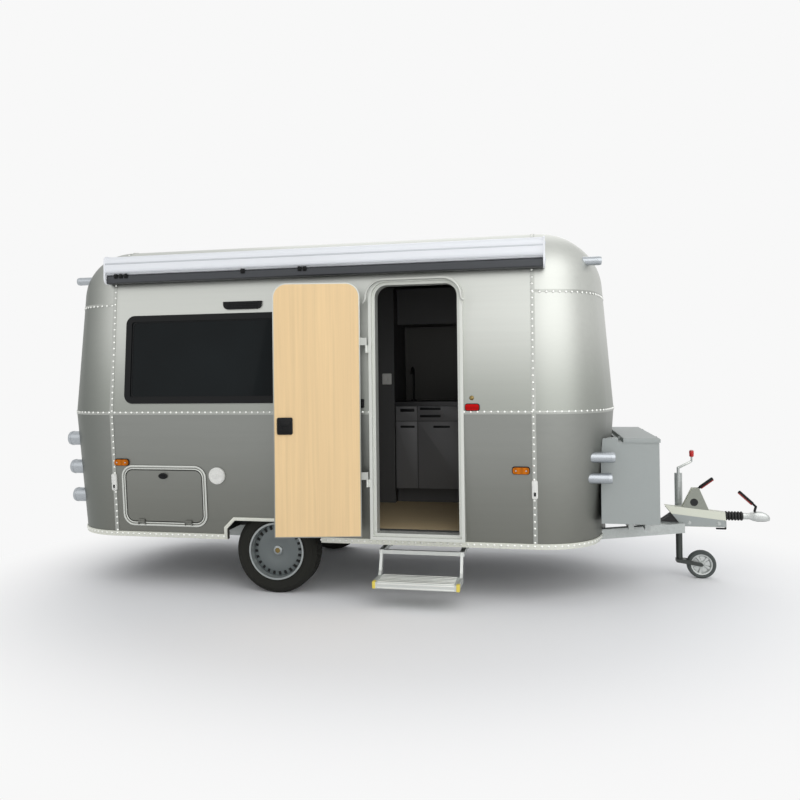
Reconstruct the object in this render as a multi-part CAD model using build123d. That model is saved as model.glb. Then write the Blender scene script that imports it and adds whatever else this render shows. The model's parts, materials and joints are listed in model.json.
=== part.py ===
"""Travel trailer with one axle, parked on its wheels and jockey wheel, entry door open.

Millimetres. Pieces are drawn with x forward from the axle, y to the left of the centreline and
z up from the floor, then moved so that the origin is at the middle of the footprint.
"""
from build123d import *
import math
import os

RIGHT, LEFT = -1, 1
SIDES = (RIGHT, LEFT)

# Clearances
SEAT_GAP = 0.3
RUN_GAP = 6.0
PIN_GAP = 0.3
OVERCUT = 1.0

# Shell
BELT_WIDTH = 2100.0
SKIRT_Z = 415.0
BELT_Z = 1400.0
DOME_HEIGHT = 470.0
ROOF_OVER_DOOR = 397.0
ROOF_EDGE_RADIUS = 400.0
SEAM_FRONT = 1969.0
SEAM_REAR = -1321.0
CORNER_RADIUS = 545.0
END_BOW = 70.0
UPPER_LEAN = 4.6
LOWER_LEAN = 4.9
WALL = 38.0
FLOOR_TOP = 525.0
FLOOR_THICK = 45.0
SILL_RAIL_HEIGHT = 40.0
SILL_RAIL_PROUD = 7.0

# Road wheels and axle
TYRE_RADIUS = 325.0
TYRE_WIDTH = 200.0
RIM_RADIUS = 212.0
WHEEL_INSET = 225.0
STUB_RADIUS = 22.0
# Tyre section from bead to tread: share of the tyre's height, share of its half width
TYRE_SECTION = ((0.0, 0.82), (0.27, 0.96), (0.49, 1.0), (0.69, 0.95), (0.91, 0.82), (1.0, 0.66))
RIM_WIDTH = 180.0
RIM_LIP = 10.0
RIM_LIP_THICK = 8.0
RIM_WALL = 8.0
DISH_RADIUS = 150.0
DISH_OUT = 48.0
DISH_THICK = 14.0
WELL_DROP = 14.0
WELL_OUT = 40.0
HUB_RADIUS = 55.0
BOSS_RADIUS = 40.0
BOSS_OUT = 60.0
DRUM_RADIUS = 115.0
DRUM_SPAN = (-70.0, -12.0)
ARCH_HALF = 378.0
ARCH_TOP_Z = 565.0
ARCH_CHAMFER = 65.0
WHEEL_BOX_ROOM = 55.0
WHEEL_BOX_WALL = 10.0
AXLE_LEAD = 160.0
AXLE_TUBE = 80.0
AXLE_INSET = 185.0
ARM_THICK = 45.0

# Chassis and drawbar
RAIL_INSET = 225.0
RAIL_WIDTH = 50.0
RAIL_HEIGHT = 100.0
RAIL_REAR = -1666.0
RAIL_FRONT = 2134.0
CROSS_WIDTH = 50.0
CROSS_MEMBERS_X = (-1616.0, -866.0, 554.0, 1284.0, 2109.0)
BEAM_HEIGHT = 75.0
BEAM_WIDTH = 70.0
BEAM_FRONT = 3114.0
BEAM_FRONT_Y = 55.0
BEAM_NOTCH = 8.0

# Entry door
DOOR_X = 1126.0
DOORWAY_WIDTH = 610.0
DOORWAY_HEIGHT = 1833.0
DOORWAY_SILL_Z = 510.0
DOORWAY_RADIUS = 90.0
DOOR_LAP = 15.0
DOOR_RIM = 22.0
FRAME_PROUD = 10.0
FRAME_DEPTH = 145.0
LEAF_THICK = 30.0
LINING_THICK = 4.0
LINING_MARGIN = 8.0
DOOR_OPEN = 168.0
HINGE_OFFSET = 15.0
HINGE_OUT = 14.0
HINGE_RADIUS = 9.0
HINGE_PIN_RADIUS = 4.0
HINGE_HEIGHT = 110.0
HINGE_STRAP = 6.0
HINGE_STRAP_LENGTH = 150.0
HINGES_Z = (910.0, 1900.0)
LOCK_WIDTH = 115.0
LOCK_HEIGHT = 125.0
LOCK_THICK = 26.0
LOCK_Z = 1312.0
LOCK_EDGE = 27.0

# Windows, slot, locker and small fittings on the side walls
WINDOW_WIDTH = 1450.0
WINDOW_HEAD = 96.0
WINDOW_FOOT = 74.0
WINDOW_RADIUS = 70.0
WINDOW_SEAM_GAP = 110.0
WINDOW_BORDER = 50.0
WINDOW_PROUD = 8.0
PANE_THICK = 8.0
SLOT_X = -231.0
SLOT_DROP = 38.0
SLOT_WIDTH = 316.0
SLOT_HEIGHT = 60.0
SLOT_PROUD = 14.0
SLOT_RADIUS = 40.0
LOCKER_X = -896.0
LOCKER_Z = 746.0
LOCKER_WIDTH = 719.0
LOCKER_HEIGHT = 486.0
LOCKER_RADIUS = 95.0
LOCKER_BORDER = 34.0
LOCKER_PROUD = 6.0
LOCKER_THICK = 30.0
LOCKER_PIN_OUT = 10.0
LOCKER_PIN_RADIUS = 3.0
LOCKER_KNUCKLE_RADIUS = 7.0
LOCKER_KNUCKLE_LENGTH = 50.0
LOCKER_KNUCKLES_X = (-200.0, 200.0)
LOCKER_LOCK_WIDTH = 74.0
LOCKER_LOCK_HEIGHT = 46.0
LOCKER_LOCK_PROUD = 9.0
LOCKER_LOCK_DROP = 42.0
CAP_X = -444.0
CAP_Z = 914.0
CAP_RADIUS = 65.0
CAP_PROUD = 16.0

# Lamps: width or radius, height, how far they stand out
MARKER_SIZE = (115.0, 46.0, 20.0)
# Amber markers near the rear and front seams: x in from the seam, z
MARKERS = ((72.0, 1010.0), (95.0, 985.0))
SEAM_LAMP_SIZE = (42.0, 135.0, 14.0)
SEAM_LAMP_Z = 850.0
ENTRY_LAMP_SIZE = (97.0, 44.0, 15.0)
ENTRY_LAMP_X = 1536.0
ENTRY_LAMP_Z = 1438.0
# Round pods that point along x: tip's distance past the seam, y in from the belt, z (below the
# roof for the clearance lamps), radius
POD_REACH = 260.0
REAR_LAMPS = ((545.0, 300.0, 1180.0, 58.0), (525.0, 300.0, 943.0, 58.0), (500.0, 300.0, 708.0, 58.0))
FRONT_LAMPS = ((565.0, 250.0, 1064.0, 38.0), (543.0, 250.0, 912.0, 38.0))
CLEARANCE_LAMPS = ((495.0, 350.0, 235.0, 33.0),)
POD_ROUND = 24.0

# Awning
AWNING_PAST_REAR = 50.0
AWNING_PAST_FRONT = 93.0
AWNING_INSET = 45.0
AWNING_DROP = 168.0
CASSETTE_DEPTH = 112.0
CASSETTE_HEIGHT = 150.0
CASSETTE_RADIUS = 45.0
LEAD_RAIL_DEPTH = 80.0
LEAD_RAIL_HEIGHT = 64.0
LEAD_RAIL_RADIUS = 12.0
END_CAP_THICK = 14.0
END_CAP_MARGIN = 5.0
AWNING_BRACKETS_X = (-1166.0, 334.0, 1834.0)
AWNING_BRACKET = (60.0, 130.0, 70.0)

# Step
STEP_X = (839.0, 1439.0)
STEP_TRAVEL = 270.0
GUIDE_SIZE = 42.0
GUIDE_WALL = 4.0
GUIDE_SPARE = 190.0
GUIDE_PAST_RAIL = 40.0
SLIDER_GAP = 0.5
STEP_BAR_INSET = 95.0
STEP_BAR = 28.0
SLIDER_LENGTH = 535.0
TREAD_TOP_Z = 205.0
TREAD_INSET = 40.0
TREAD_DEPTH = 240.0
TREAD_THICK = 15.0
TREAD_NOSE = 45.0
TREAD_NOSE_THICK = 15.0
TREAD_RIB = 3.0
TREAD_RIB_PITCH = 24.0
ARM_WIDTH = 20.0

# Storage box on the drawbar
BOX_GAP = 18.0
BOX_LENGTH = 250.0
BOX_WRAP = 130.0
# Raised ends of the fixed rear deck, and the room the lid's rear edge needs to swing
CHEEK_DEPTH = 140.0
LID_SWING = 26.0
BOX_WIDTH = 1426.0
BOX_BOTTOM_Z = 570.0
BOX_TOP_Z = 1166.0
BOX_WALL = 4.0
LID_THICK = 30.0
LID_OVERHANG = 8.0
LID_PIN_BACK = 10.0
LID_PIN_RADIUS = 3.0
LID_KNUCKLE_RADIUS = 7.0
LID_KNUCKLE_LENGTH = 60.0
LID_KNUCKLES_Y = (-450.0, 450.0)
LID_EAR_THICK = 6.0
LID_EAR_RADIUS = 8.0
LID_EAR_DROP = 60.0
BEARERS_X = (2674.0, 2794.0)
BEARER_WIDTH = 40.0
BEARER_LENGTH = 900.0

# Overrun coupling
HOUSING_WIDTH = 116.0
HOUSING_LAP = 143.0
HOUSING_LENGTH = 453.0
HOUSING_REAR_TOP_Z = 613.0
HOUSING_FRONT_TOP_Z = 566.0
HOUSING_DROP_Z = 452.0
HOUSING_SLOPE = 105.0
# Bevel along the housing's top: across the top, down the side
HOUSING_BEVEL = (22.0, 60.0)
COUPLING_Z = 535.0
BELLOWS_LENGTH = 135.0
BELLOWS_RADIUS = 36.0
BELLOWS_ROOT = 27.0
BELLOWS_FOLDS = 6
COUPLING_LENGTH = 198.0
COUPLING_WIDTH = 84.0
COUPLING_HEIGHT = 76.0
COUPLING_NECK = 56.0
COUPLING_NECK_LENGTH = 50.0
BALL_RADIUS = 25.0
BALL_GAP = 0.4
BALL_SETBACK = 51.0
BALL_SOCKET_DEPTH = 45.0
LEVER_WIDTH = 30.0
LEVER_THICK = 24.0
# Coupling lever: x behind the nose, z
COUPLING_LEVER = ((111.0, 574.0), (101.0, 612.0), (220.0, 724.0))
# Bracket and handbrake lever: x ahead of the housing's rear end, z
BRACKET_BASE = (135.0, 335.0)
BRACKET_APEX = (237.0, 752.0)
BRACKET_TIP = 26.0
BRACKET_THICK = 6.0
BRACKET_HALF = 24.0
HANDBRAKE_LEVER = ((223.0, 640.0), (251.0, 740.0), (365.0, 826.0))
HANDBRAKE_PIVOT_RADIUS = 9.0
HOOK_TOP_Z = 495.0
HOOK_DROP = 70.0
HOOK_REACH = 80.0
HOOK_THICK = 13.0
HOOK_WIDTH = 22.0

# Jockey wheel
JOCKEY_X = 3104.0
JOCKEY_Y = 150.0
JOCKEY_TUBE_RADIUS = 30.0
JOCKEY_TUBE_WALL = 4.0
JOCKEY_TUBE_BOTTOM_Z = 365.0
JOCKEY_TUBE_TOP_Z = 852.0
JOCKEY_CAP = 10.0
JOCKEY_SLIDE_GAP = 0.5
JOCKEY_LEG_BOTTOM_Z = 152.0
JOCKEY_LIFT = 150.0
JOCKEY_WHEEL_RADIUS = 112.5
JOCKEY_WHEEL_WIDTH = 60.0
JOCKEY_TRAIL = 168.0
JOCKEY_AXLE_RADIUS = 7.0
FORK_GAP = 6.0
FORK_THICK = 6.0
FORK_HEAD = 24.0
FORK_STEM_RADIUS = 12.0
FORK_STEM = 60.0
CLAMP_HEIGHT = 60.0
CLAMP_RING = 12.0
CLAMP_BLOCK = 30.0
CLAMP_SCREW_RADIUS = 9.0
CLAMP_HANDLE_RADIUS = 6.0
CLAMP_HANDLE = 95.0
CRANK_RADIUS = 7.0
CRANK_THROW = 105.0
CRANK_NECK_Z = 894.0
CRANK_ARM_Z = 950.0
CRANK_TOP_Z = 994.0
KNOB_RADIUS = 17.0
KNOB_LENGTH = 46.0

# Fittings seen through the doorway
KITCHEN_X = (714.0, 1784.0)
KITCHEN_FRONT_Y = 360.0
COUNTER_TOP_Z = 1440.0
COUNTER_THICK = 36.0
COUNTER_OVERHANG = 14.0
PLINTH_Z = 650.0
PLINTH_DEPTH = 90.0
OVERHEAD_DROP = 260.0
OVERHEAD_HEIGHT = 330.0
OVERHEAD_FRONT_Y = 500.0
CUPBOARD_X = (434.0, 706.0)
TAP_X = 839.0
TAP_Y = 640.0
TAP_RADIUS = 11.0
TAP_RISE = 310.0
TAP_BEND = 60.0
TAP_FOOT_RADIUS = 26.0
TAP_FOOT = 16.0

# Sizes that follow from the ones above
BELT_HALF = BELT_WIDTH / 2
ROOF_Z = DOORWAY_SILL_Z + DOORWAY_HEIGHT + ROOF_OVER_DOOR
UPPER_SEAM_Z = ROOF_Z - DOME_HEIGHT
WINDOW_HEIGHT = UPPER_SEAM_Z - BELT_Z - WINDOW_HEAD - WINDOW_FOOT
WINDOW_Z = BELT_Z + WINDOW_FOOT + WINDOW_HEIGHT / 2
WINDOW_X = SEAM_REAR + WINDOW_SEAM_GAP + WINDOW_WIDTH / 2
SLOT_Z = UPPER_SEAM_Z - SLOT_DROP
CORNER_Y = BELT_HALF - CORNER_RADIUS
END_RADIUS = (CORNER_Y**2 + END_BOW**2) / (2 * END_BOW) + CORNER_RADIUS
END_CENTRE_BACK = math.sqrt((END_RADIUS - CORNER_RADIUS) ** 2 - CORNER_Y**2)
END_REACH = END_RADIUS - END_CENTRE_BACK
FLOOR_Z = FLOOR_TOP - FLOOR_THICK
AWNING_REAR = SEAM_REAR - AWNING_PAST_REAR
AWNING_FRONT = SEAM_FRONT + AWNING_PAST_FRONT
AWNING_Y = AWNING_INSET - BELT_HALF
AWNING_Z = ROOF_Z - AWNING_DROP
BOX_REAR = SEAM_FRONT + END_REACH + BOX_GAP
BOX_FRONT = BOX_REAR + BOX_LENGTH
RAIL_Z = FLOOR_Z - RAIL_HEIGHT
WHEEL_Y = BELT_HALF - WHEEL_INSET
RAIL_Y = WHEEL_Y - RAIL_INSET
AXLE_HALF = WHEEL_Y - AXLE_INSET
LEAF_WIDTH = DOORWAY_WIDTH + 2 * DOOR_LAP
FRAME_MARGIN = DOOR_LAP + RUN_GAP + DOOR_RIM
FRAME_FACE_Y = -(BELT_HALF + FRAME_PROUD)
DOOR_Z = DOORWAY_SILL_Z + DOORWAY_HEIGHT / 2
HINGE_X = DOOR_X - DOORWAY_WIDTH / 2 - FRAME_MARGIN - HINGE_OFFSET
HINGE_Y = FRAME_FACE_Y - HINGE_OUT
HOUSING_REAR = BEAM_FRONT - HOUSING_LAP
HOUSING_FRONT = HOUSING_REAR + HOUSING_LENGTH
COUPLING_NOSE = HOUSING_FRONT + BELLOWS_LENGTH + COUPLING_LENGTH
BALL_X = COUPLING_NOSE - BALL_SETBACK
LID_PIN_X = BOX_REAR - LID_PIN_BACK
LID_PIN_Z = BOX_TOP_Z + LID_THICK / 2
GUIDE_Z = RAIL_Z - GUIDE_SIZE / 2
GUIDE_LENGTH = STEP_TRAVEL + GUIDE_SPARE
GUIDE_OUTER_Y = -RAIL_Y - GUIDE_PAST_RAIL
STEP_BAR_Y = STEP_BAR_INSET - BELT_HALF
TREAD_BACK_Y = TREAD_INSET - BELT_HALF
LOCKER_PIN_DOWN = LOCKER_HEIGHT / 2 - LOCKER_BORDER
JOCKEY_AXLE = (JOCKEY_X + JOCKEY_TRAIL, JOCKEY_Y, JOCKEY_WHEEL_RADIUS)
LEG_RADIUS = JOCKEY_TUBE_RADIUS - JOCKEY_TUBE_WALL - JOCKEY_SLIDE_GAP
JOCKEY_LEG_TOP_Z = JOCKEY_TUBE_TOP_Z - JOCKEY_CAP - JOCKEY_LIFT - 2 * RUN_GAP

# The footprint's middle: from the rear of the shell to the coupling's nose, and from the lock of
# the open door to the left wall
LOCK_FAR = HINGE_OFFSET + FRAME_MARGIN - DOOR_LAP + LEAF_WIDTH - LOCK_EDGE
LOCK_INNER = HINGE_OUT + LEAF_THICK + LINING_THICK + LOCK_THICK
DOOR_SWING_Y = (HINGE_Y - LOCK_FAR * math.sin(math.radians(DOOR_OPEN))
                + LOCK_INNER * math.cos(math.radians(DOOR_OPEN)))
ORIGIN_X = (SEAM_REAR - END_REACH + COUPLING_NOSE) / 2
ORIGIN_Y = (DOOR_SWING_Y + BELT_HALF) / 2


def block(x, y, z):
    """A box from three (low, high) pairs."""
    sizes = [abs(high - low) for low, high in (x, y, z)]
    middle = [(high + low) / 2 for low, high in (x, y, z)]
    return Pos(*middle) * Box(*sizes)


def plate_xz(points, y):
    """A flat plate with an outline in x and z, between two values of y."""
    outline = Plane.XZ.offset(-max(y)) * Polygon(*points, align=None)
    return extrude(outline, amount=abs(y[1] - y[0]), dir=(0, -1, 0))


def plate_yz(points, x):
    """A flat plate with an outline in y and z, between two values of x."""
    outline = Plane.YZ.offset(min(x)) * Polygon(*points, align=None)
    return extrude(outline, amount=abs(x[1] - x[0]), dir=(1, 0, 0))


def rod(start, end, radius):
    """A round bar between two points."""
    axis = Vector(*end) - Vector(*start)
    return extrude(Plane(origin=start, z_dir=axis) * Circle(radius), amount=axis.length)


def bar(points, y, width):
    """A flat lever of even width along points in x and z, centred on y."""
    pieces = [Pos(px, y, pz) * Rot(90, 0, 0) * Cylinder(LEVER_THICK / 2, width) for px, pz in points]
    for (ax, az), (bx, bz) in zip(points, points[1:]):
        run = Plane(origin=(ax, y, az), x_dir=(0, 1, 0), z_dir=(bx - ax, 0, bz - az))
        pieces.append(extrude(run * Rectangle(width, LEVER_THICK), amount=math.dist((ax, az), (bx, bz))))
    lever = pieces[0]
    for piece in pieces[1:]:
        lever += piece
    return lever


def mirrored(piece):
    """The same piece on the other side of the centreline."""
    return mirror(piece, about=Plane.XZ)


def plan_outline(inset):
    """Plan of the shell at the belt: straight sides, round corners, bowed ends, drawn inwards."""
    corner, end = CORNER_RADIUS - inset, END_RADIUS - inset
    turn = math.atan2(CORNER_Y, END_CENTRE_BACK)

    def end_arcs(seam, way):
        def at(angle):
            return (seam + way * corner * math.cos(angle), -way * (CORNER_Y + corner * math.sin(angle)))

        start, middle, stop = at(math.pi / 2), at((math.pi / 2 + turn) / 2), at(turn)
        nose = (seam + way * (end - END_CENTRE_BACK), 0)
        flip = [(px, -py) for px, py in (start, middle, stop)]
        return [ThreePointArc(start, middle, stop), ThreePointArc(stop, nose, flip[2]),
                ThreePointArc(flip[2], flip[1], flip[0])]

    half = CORNER_Y + corner
    left = Line((SEAM_FRONT, half), (SEAM_REAR, half))
    right = Line((SEAM_REAR, -half), (SEAM_FRONT, -half))
    return make_face(end_arcs(SEAM_FRONT, 1) + [left] + end_arcs(SEAM_REAR, -1) + [right])


def shell_form(inset, bottom_z=SKIRT_Z):
    """The solid form of the shell, drawn inwards by an inset."""
    belt = Plane.XY.offset(BELT_Z)
    plan = belt * plan_outline(inset)
    upper = extrude(plan, amount=ROOF_Z - inset - BELT_Z, taper=UPPER_LEAN)
    upper = fillet(upper.faces().sort_by(Axis.Z)[-1].edges(), ROOF_EDGE_RADIUS - inset)
    lower = mirror(extrude(plan, amount=BELT_Z - bottom_z, taper=LOWER_LEAN), about=belt)
    return upper + lower


def wall_half(z):
    """Half the outside width of the flat side walls at a height below the roof's edge."""
    if z > BELT_Z:
        return BELT_HALF - (z - BELT_Z) * math.tan(math.radians(UPPER_LEAN))
    return BELT_HALF - (BELT_Z - z) * math.tan(math.radians(LOWER_LEAN))


def wall_plane(side, x, z):
    """A plane on the outside of a side wall: local y up the wall, local z outwards."""
    lean = math.radians(UPPER_LEAN if z > BELT_Z else -LOWER_LEAN)
    normal = (0, side * math.cos(lean), math.sin(lean))
    return Plane(origin=(x, side * wall_half(z), z), x_dir=(-side, 0, 0), z_dir=normal)


def on_wall(side, x, z, sketch, low, high):
    """A sketch extruded square to the wall, from one distance outside it to another."""
    return extrude(wall_plane(side, x, z).offset(low) * sketch, amount=high - low)


def doorway_sketch(margin):
    """The doorway's outline, square below and round above, grown by a margin."""
    width, height = DOORWAY_WIDTH + 2 * margin, DOORWAY_HEIGHT + 2 * margin
    sketch = Rectangle(width, height)
    return fillet(sketch.vertices().group_by(Axis.Y)[-1], DOORWAY_RADIUS + margin)


def doorway_prism(margin, y):
    """The doorway's outline through the wall, between two values of y."""
    plane = Plane(origin=(DOOR_X, max(y), DOOR_Z), x_dir=(1, 0, 0), z_dir=(0, -1, 0))
    return extrude(plane * doorway_sketch(margin), amount=abs(y[1] - y[0]))


def arch_prism(side):
    """The cut for a wheel arch: flat top, chamfered corners."""
    corner_z, inner = ARCH_TOP_Z - ARCH_CHAMFER, ARCH_HALF - ARCH_CHAMFER
    points = [(-ARCH_HALF, 0), (-ARCH_HALF, corner_z), (-inner, ARCH_TOP_Z)]
    points += [(-px, pz) for px, pz in reversed(points)]
    return plate_xz(points, (side * BELT_HALF * 0.5, side * BELT_WIDTH))


def beam_prism(side, margin=0.0):
    """One leg of the drawbar's A, its rear end square against the front cross member."""
    rear, front = RAIL_Y, BEAM_FRONT_Y
    half = BEAM_WIDTH / 2 + margin
    points = [(RAIL_FRONT, rear - half), (BEAM_FRONT, front - half), (BEAM_FRONT, front + half),
              (RAIL_FRONT, rear + half)]
    outline = Polygon(*[(px, side * py) for px, py in points], align=None)
    low, high = FLOOR_Z - BEAM_HEIGHT - margin, FLOOR_Z + margin
    return extrude(Plane.XY.offset(low) * outline, amount=high - low, dir=(0, 0, 1))


def shell_panels(outer):
    """The shell split where its panels meet, with the openings cut."""
    shell = outer - shell_form(WALL, SKIRT_Z - FLOOR_THICK)
    far = 2 * BELT_WIDTH
    middle = (SEAM_REAR, SEAM_FRONT)
    lower, upper = (SKIRT_Z, BELT_Z), (BELT_Z, UPPER_SEAM_Z)
    top = (UPPER_SEAM_Z, ROOF_Z + far)
    bounds = {
        "side_right_lower": (middle, (-far, 0), lower),
        "side_right_upper": (middle, (-far, 0), upper),
        "side_left_lower": (middle, (0, far), lower),
        "side_left_upper": (middle, (0, far), upper),
        "end_front_lower": ((SEAM_FRONT, far), (-far, far), lower),
        "end_front_upper": ((SEAM_FRONT, far), (-far, far), upper),
        "end_rear_lower": ((-far, SEAM_REAR), (-far, far), lower),
        "end_rear_upper": ((-far, SEAM_REAR), (-far, far), upper),
        "roof_middle": (middle, (-far, far), top),
    }
    panels = {name: shell & block(*spans) for name, spans in bounds.items()}
    panels["roof_domes"] = [shell & block(ends, (-far, far), top)
                            for ends in ((SEAM_FRONT, far), (-far, SEAM_REAR))]

    doorway = doorway_prism(FRAME_MARGIN + SEAT_GAP, (FRAME_FACE_Y * 2, -BELT_HALF / 2))
    hole = RectangleRounded(WINDOW_WIDTH, WINDOW_HEIGHT, WINDOW_RADIUS)
    hatchway = RectangleRounded(LOCKER_WIDTH - 2 * LOCKER_BORDER, LOCKER_HEIGHT - 2 * LOCKER_BORDER,
                                LOCKER_RADIUS - LOCKER_BORDER)
    for name in ("side_right_lower", "side_right_upper", "roof_middle"):
        panels[name] -= doorway
    panels["side_right_lower"] -= on_wall(RIGHT, LOCKER_X, LOCKER_Z, hatchway, -2 * WALL, WALL)
    for side, name in zip(SIDES, ("right", "left")):
        panels[f"side_{name}_upper"] -= on_wall(side, WINDOW_X, WINDOW_Z, hole, -2 * WALL, WALL)
        panels[f"side_{name}_lower"] -= arch_prism(side)
        panels["end_front_lower"] -= beam_prism(side, BEAM_NOTCH)
    return panels


def floor_pan():
    """The floor between the walls, with a box over each wheel."""
    room = TYRE_RADIUS + WHEEL_BOX_ROOM
    low_z, top_z = FLOOR_Z, TYRE_RADIUS + room
    inner_y = WHEEL_Y - TYRE_WIDTH / 2 - WHEEL_BOX_ROOM / 2
    pan = block((-2 * BELT_WIDTH, 2 * BELT_WIDTH), (-BELT_WIDTH, BELT_WIDTH), (FLOOR_Z, FLOOR_TOP))
    for side in SIDES:
        wall = WHEEL_BOX_WALL
        pan += block((-room - wall, room + wall), (side * (inner_y - wall), side * BELT_WIDTH),
                     (low_z, top_z + wall))
        pan -= block((-room, room), (side * inner_y, side * BELT_WIDTH), (0, top_z))
    pan -= doorway_prism(FRAME_MARGIN + SEAT_GAP, (FRAME_FACE_Y, FRAME_FACE_Y + FRAME_DEPTH + SEAT_GAP))
    return pan & shell_form(WALL + SEAT_GAP, FLOOR_Z - FLOOR_THICK)


def sill_rail(seat):
    """The light rail round the foot of the shell, broken at the arches and drawbar."""
    skirt = block((-2 * BELT_WIDTH, 2 * BELT_WIDTH), (-BELT_WIDTH, BELT_WIDTH),
                  (SKIRT_Z, SKIRT_Z + SILL_RAIL_HEIGHT))
    rail = (shell_form(-SILL_RAIL_PROUD) & skirt) - seat
    for side in SIDES:
        rail -= arch_prism(side)
        rail -= beam_prism(side, BEAM_NOTCH)
    return rail


def chassis():
    """Rails, cross members, drawbar beams and the bearers of the storage box."""
    half = RAIL_WIDTH / 2
    rails = [block((RAIL_REAR, RAIL_FRONT), (side * RAIL_Y - half, side * RAIL_Y + half), (RAIL_Z, FLOOR_Z))
             for side in SIDES]
    inner = RAIL_Y - half
    members = [block((x - CROSS_WIDTH / 2, x + CROSS_WIDTH / 2), (-inner, inner), (RAIL_Z, FLOOR_Z))
               for x in CROSS_MEMBERS_X]
    bearers = [block((x - BEARER_WIDTH / 2, x + BEARER_WIDTH / 2), (-BEARER_LENGTH / 2, BEARER_LENGTH / 2),
                     (FLOOR_Z, BOX_BOTTOM_Z)) for x in BEARERS_X]
    return {"chassis_rails": rails, "chassis_cross_members": members + bearers,
            "drawbar_beams": [beam_prism(side) for side in SIDES]}


def axle():
    """Square axle tube under the rails, trailing arms and the stub axles that carry the wheels."""
    half = AXLE_TUBE / 2
    tube_z = RAIL_Z - half
    piece = block((AXLE_LEAD - half, AXLE_LEAD + half), (-AXLE_HALF, AXLE_HALF),
                  (tube_z - half, tube_z + half))
    for side in SIDES:
        arm_end = AXLE_HALF + ARM_THICK
        low = min(tube_z, TYRE_RADIUS) - half + RUN_GAP
        piece += block((-half, AXLE_LEAD + half), (side * AXLE_HALF, side * arm_end), (low, tube_z + half))
        piece += rod((0, side * AXLE_HALF, TYRE_RADIUS), (0, side * (WHEEL_Y + STUB_RADIUS), TYRE_RADIUS),
                     STUB_RADIUS)
    return piece


def wheel_turned(side, points):
    """A ring turned about the wheel's axle from radius and outboard distance."""
    profile = Polygon(*points, align=None)
    ring = revolve(Plane(origin=(0, 0, 0), x_dir=(1, 0, 0), z_dir=(0, 0, 1)) * profile, Axis.Y)
    ring = ring if side == LEFT else mirrored(ring)
    return Pos(0, side * WHEEL_Y, TYRE_RADIUS) * ring


def tyre(side):
    """Road tyre: bead, bulging sidewall, shoulder and flat tread band."""
    bead = RIM_RADIUS + SEAT_GAP
    outer = [(bead + up * (TYRE_RADIUS - bead), out * TYRE_WIDTH / 2) for up, out in TYRE_SECTION]
    return wheel_turned(side, outer + [(r, -y) for r, y in reversed(outer)])


def rim(side):
    """Steel rim with a dished cover, hub bore and brake drum behind."""
    bore, end = STUB_RADIUS + PIN_GAP, STUB_RADIUS + RUN_GAP
    barrel, lip, rim_half = RIM_RADIUS - RIM_WALL, RIM_RADIUS + RIM_LIP, RIM_WIDTH / 2
    edge = rim_half + RIM_LIP_THICK
    (drum_in, drum_out), back = DRUM_SPAN, DISH_OUT - DISH_THICK
    points = [(bore, drum_in), (DRUM_RADIUS, drum_in), (DRUM_RADIUS, drum_out), (HUB_RADIUS, drum_out),
              (HUB_RADIUS, back - DISH_THICK), (DISH_RADIUS, back), (barrel, back - DISH_THICK),
              (barrel, -edge), (lip, -edge), (lip, -rim_half), (RIM_RADIUS, -rim_half),
              (RIM_RADIUS, rim_half), (lip, rim_half), (lip, edge), (barrel, edge),
              (barrel - WELL_DROP, WELL_OUT), (DISH_RADIUS, DISH_OUT), (HUB_RADIUS, WELL_OUT),
              (HUB_RADIUS, DISH_OUT), (BOSS_RADIUS, BOSS_OUT), (0, BOSS_OUT), (0, end), (bore, end)]
    return wheel_turned(side, points)


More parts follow.
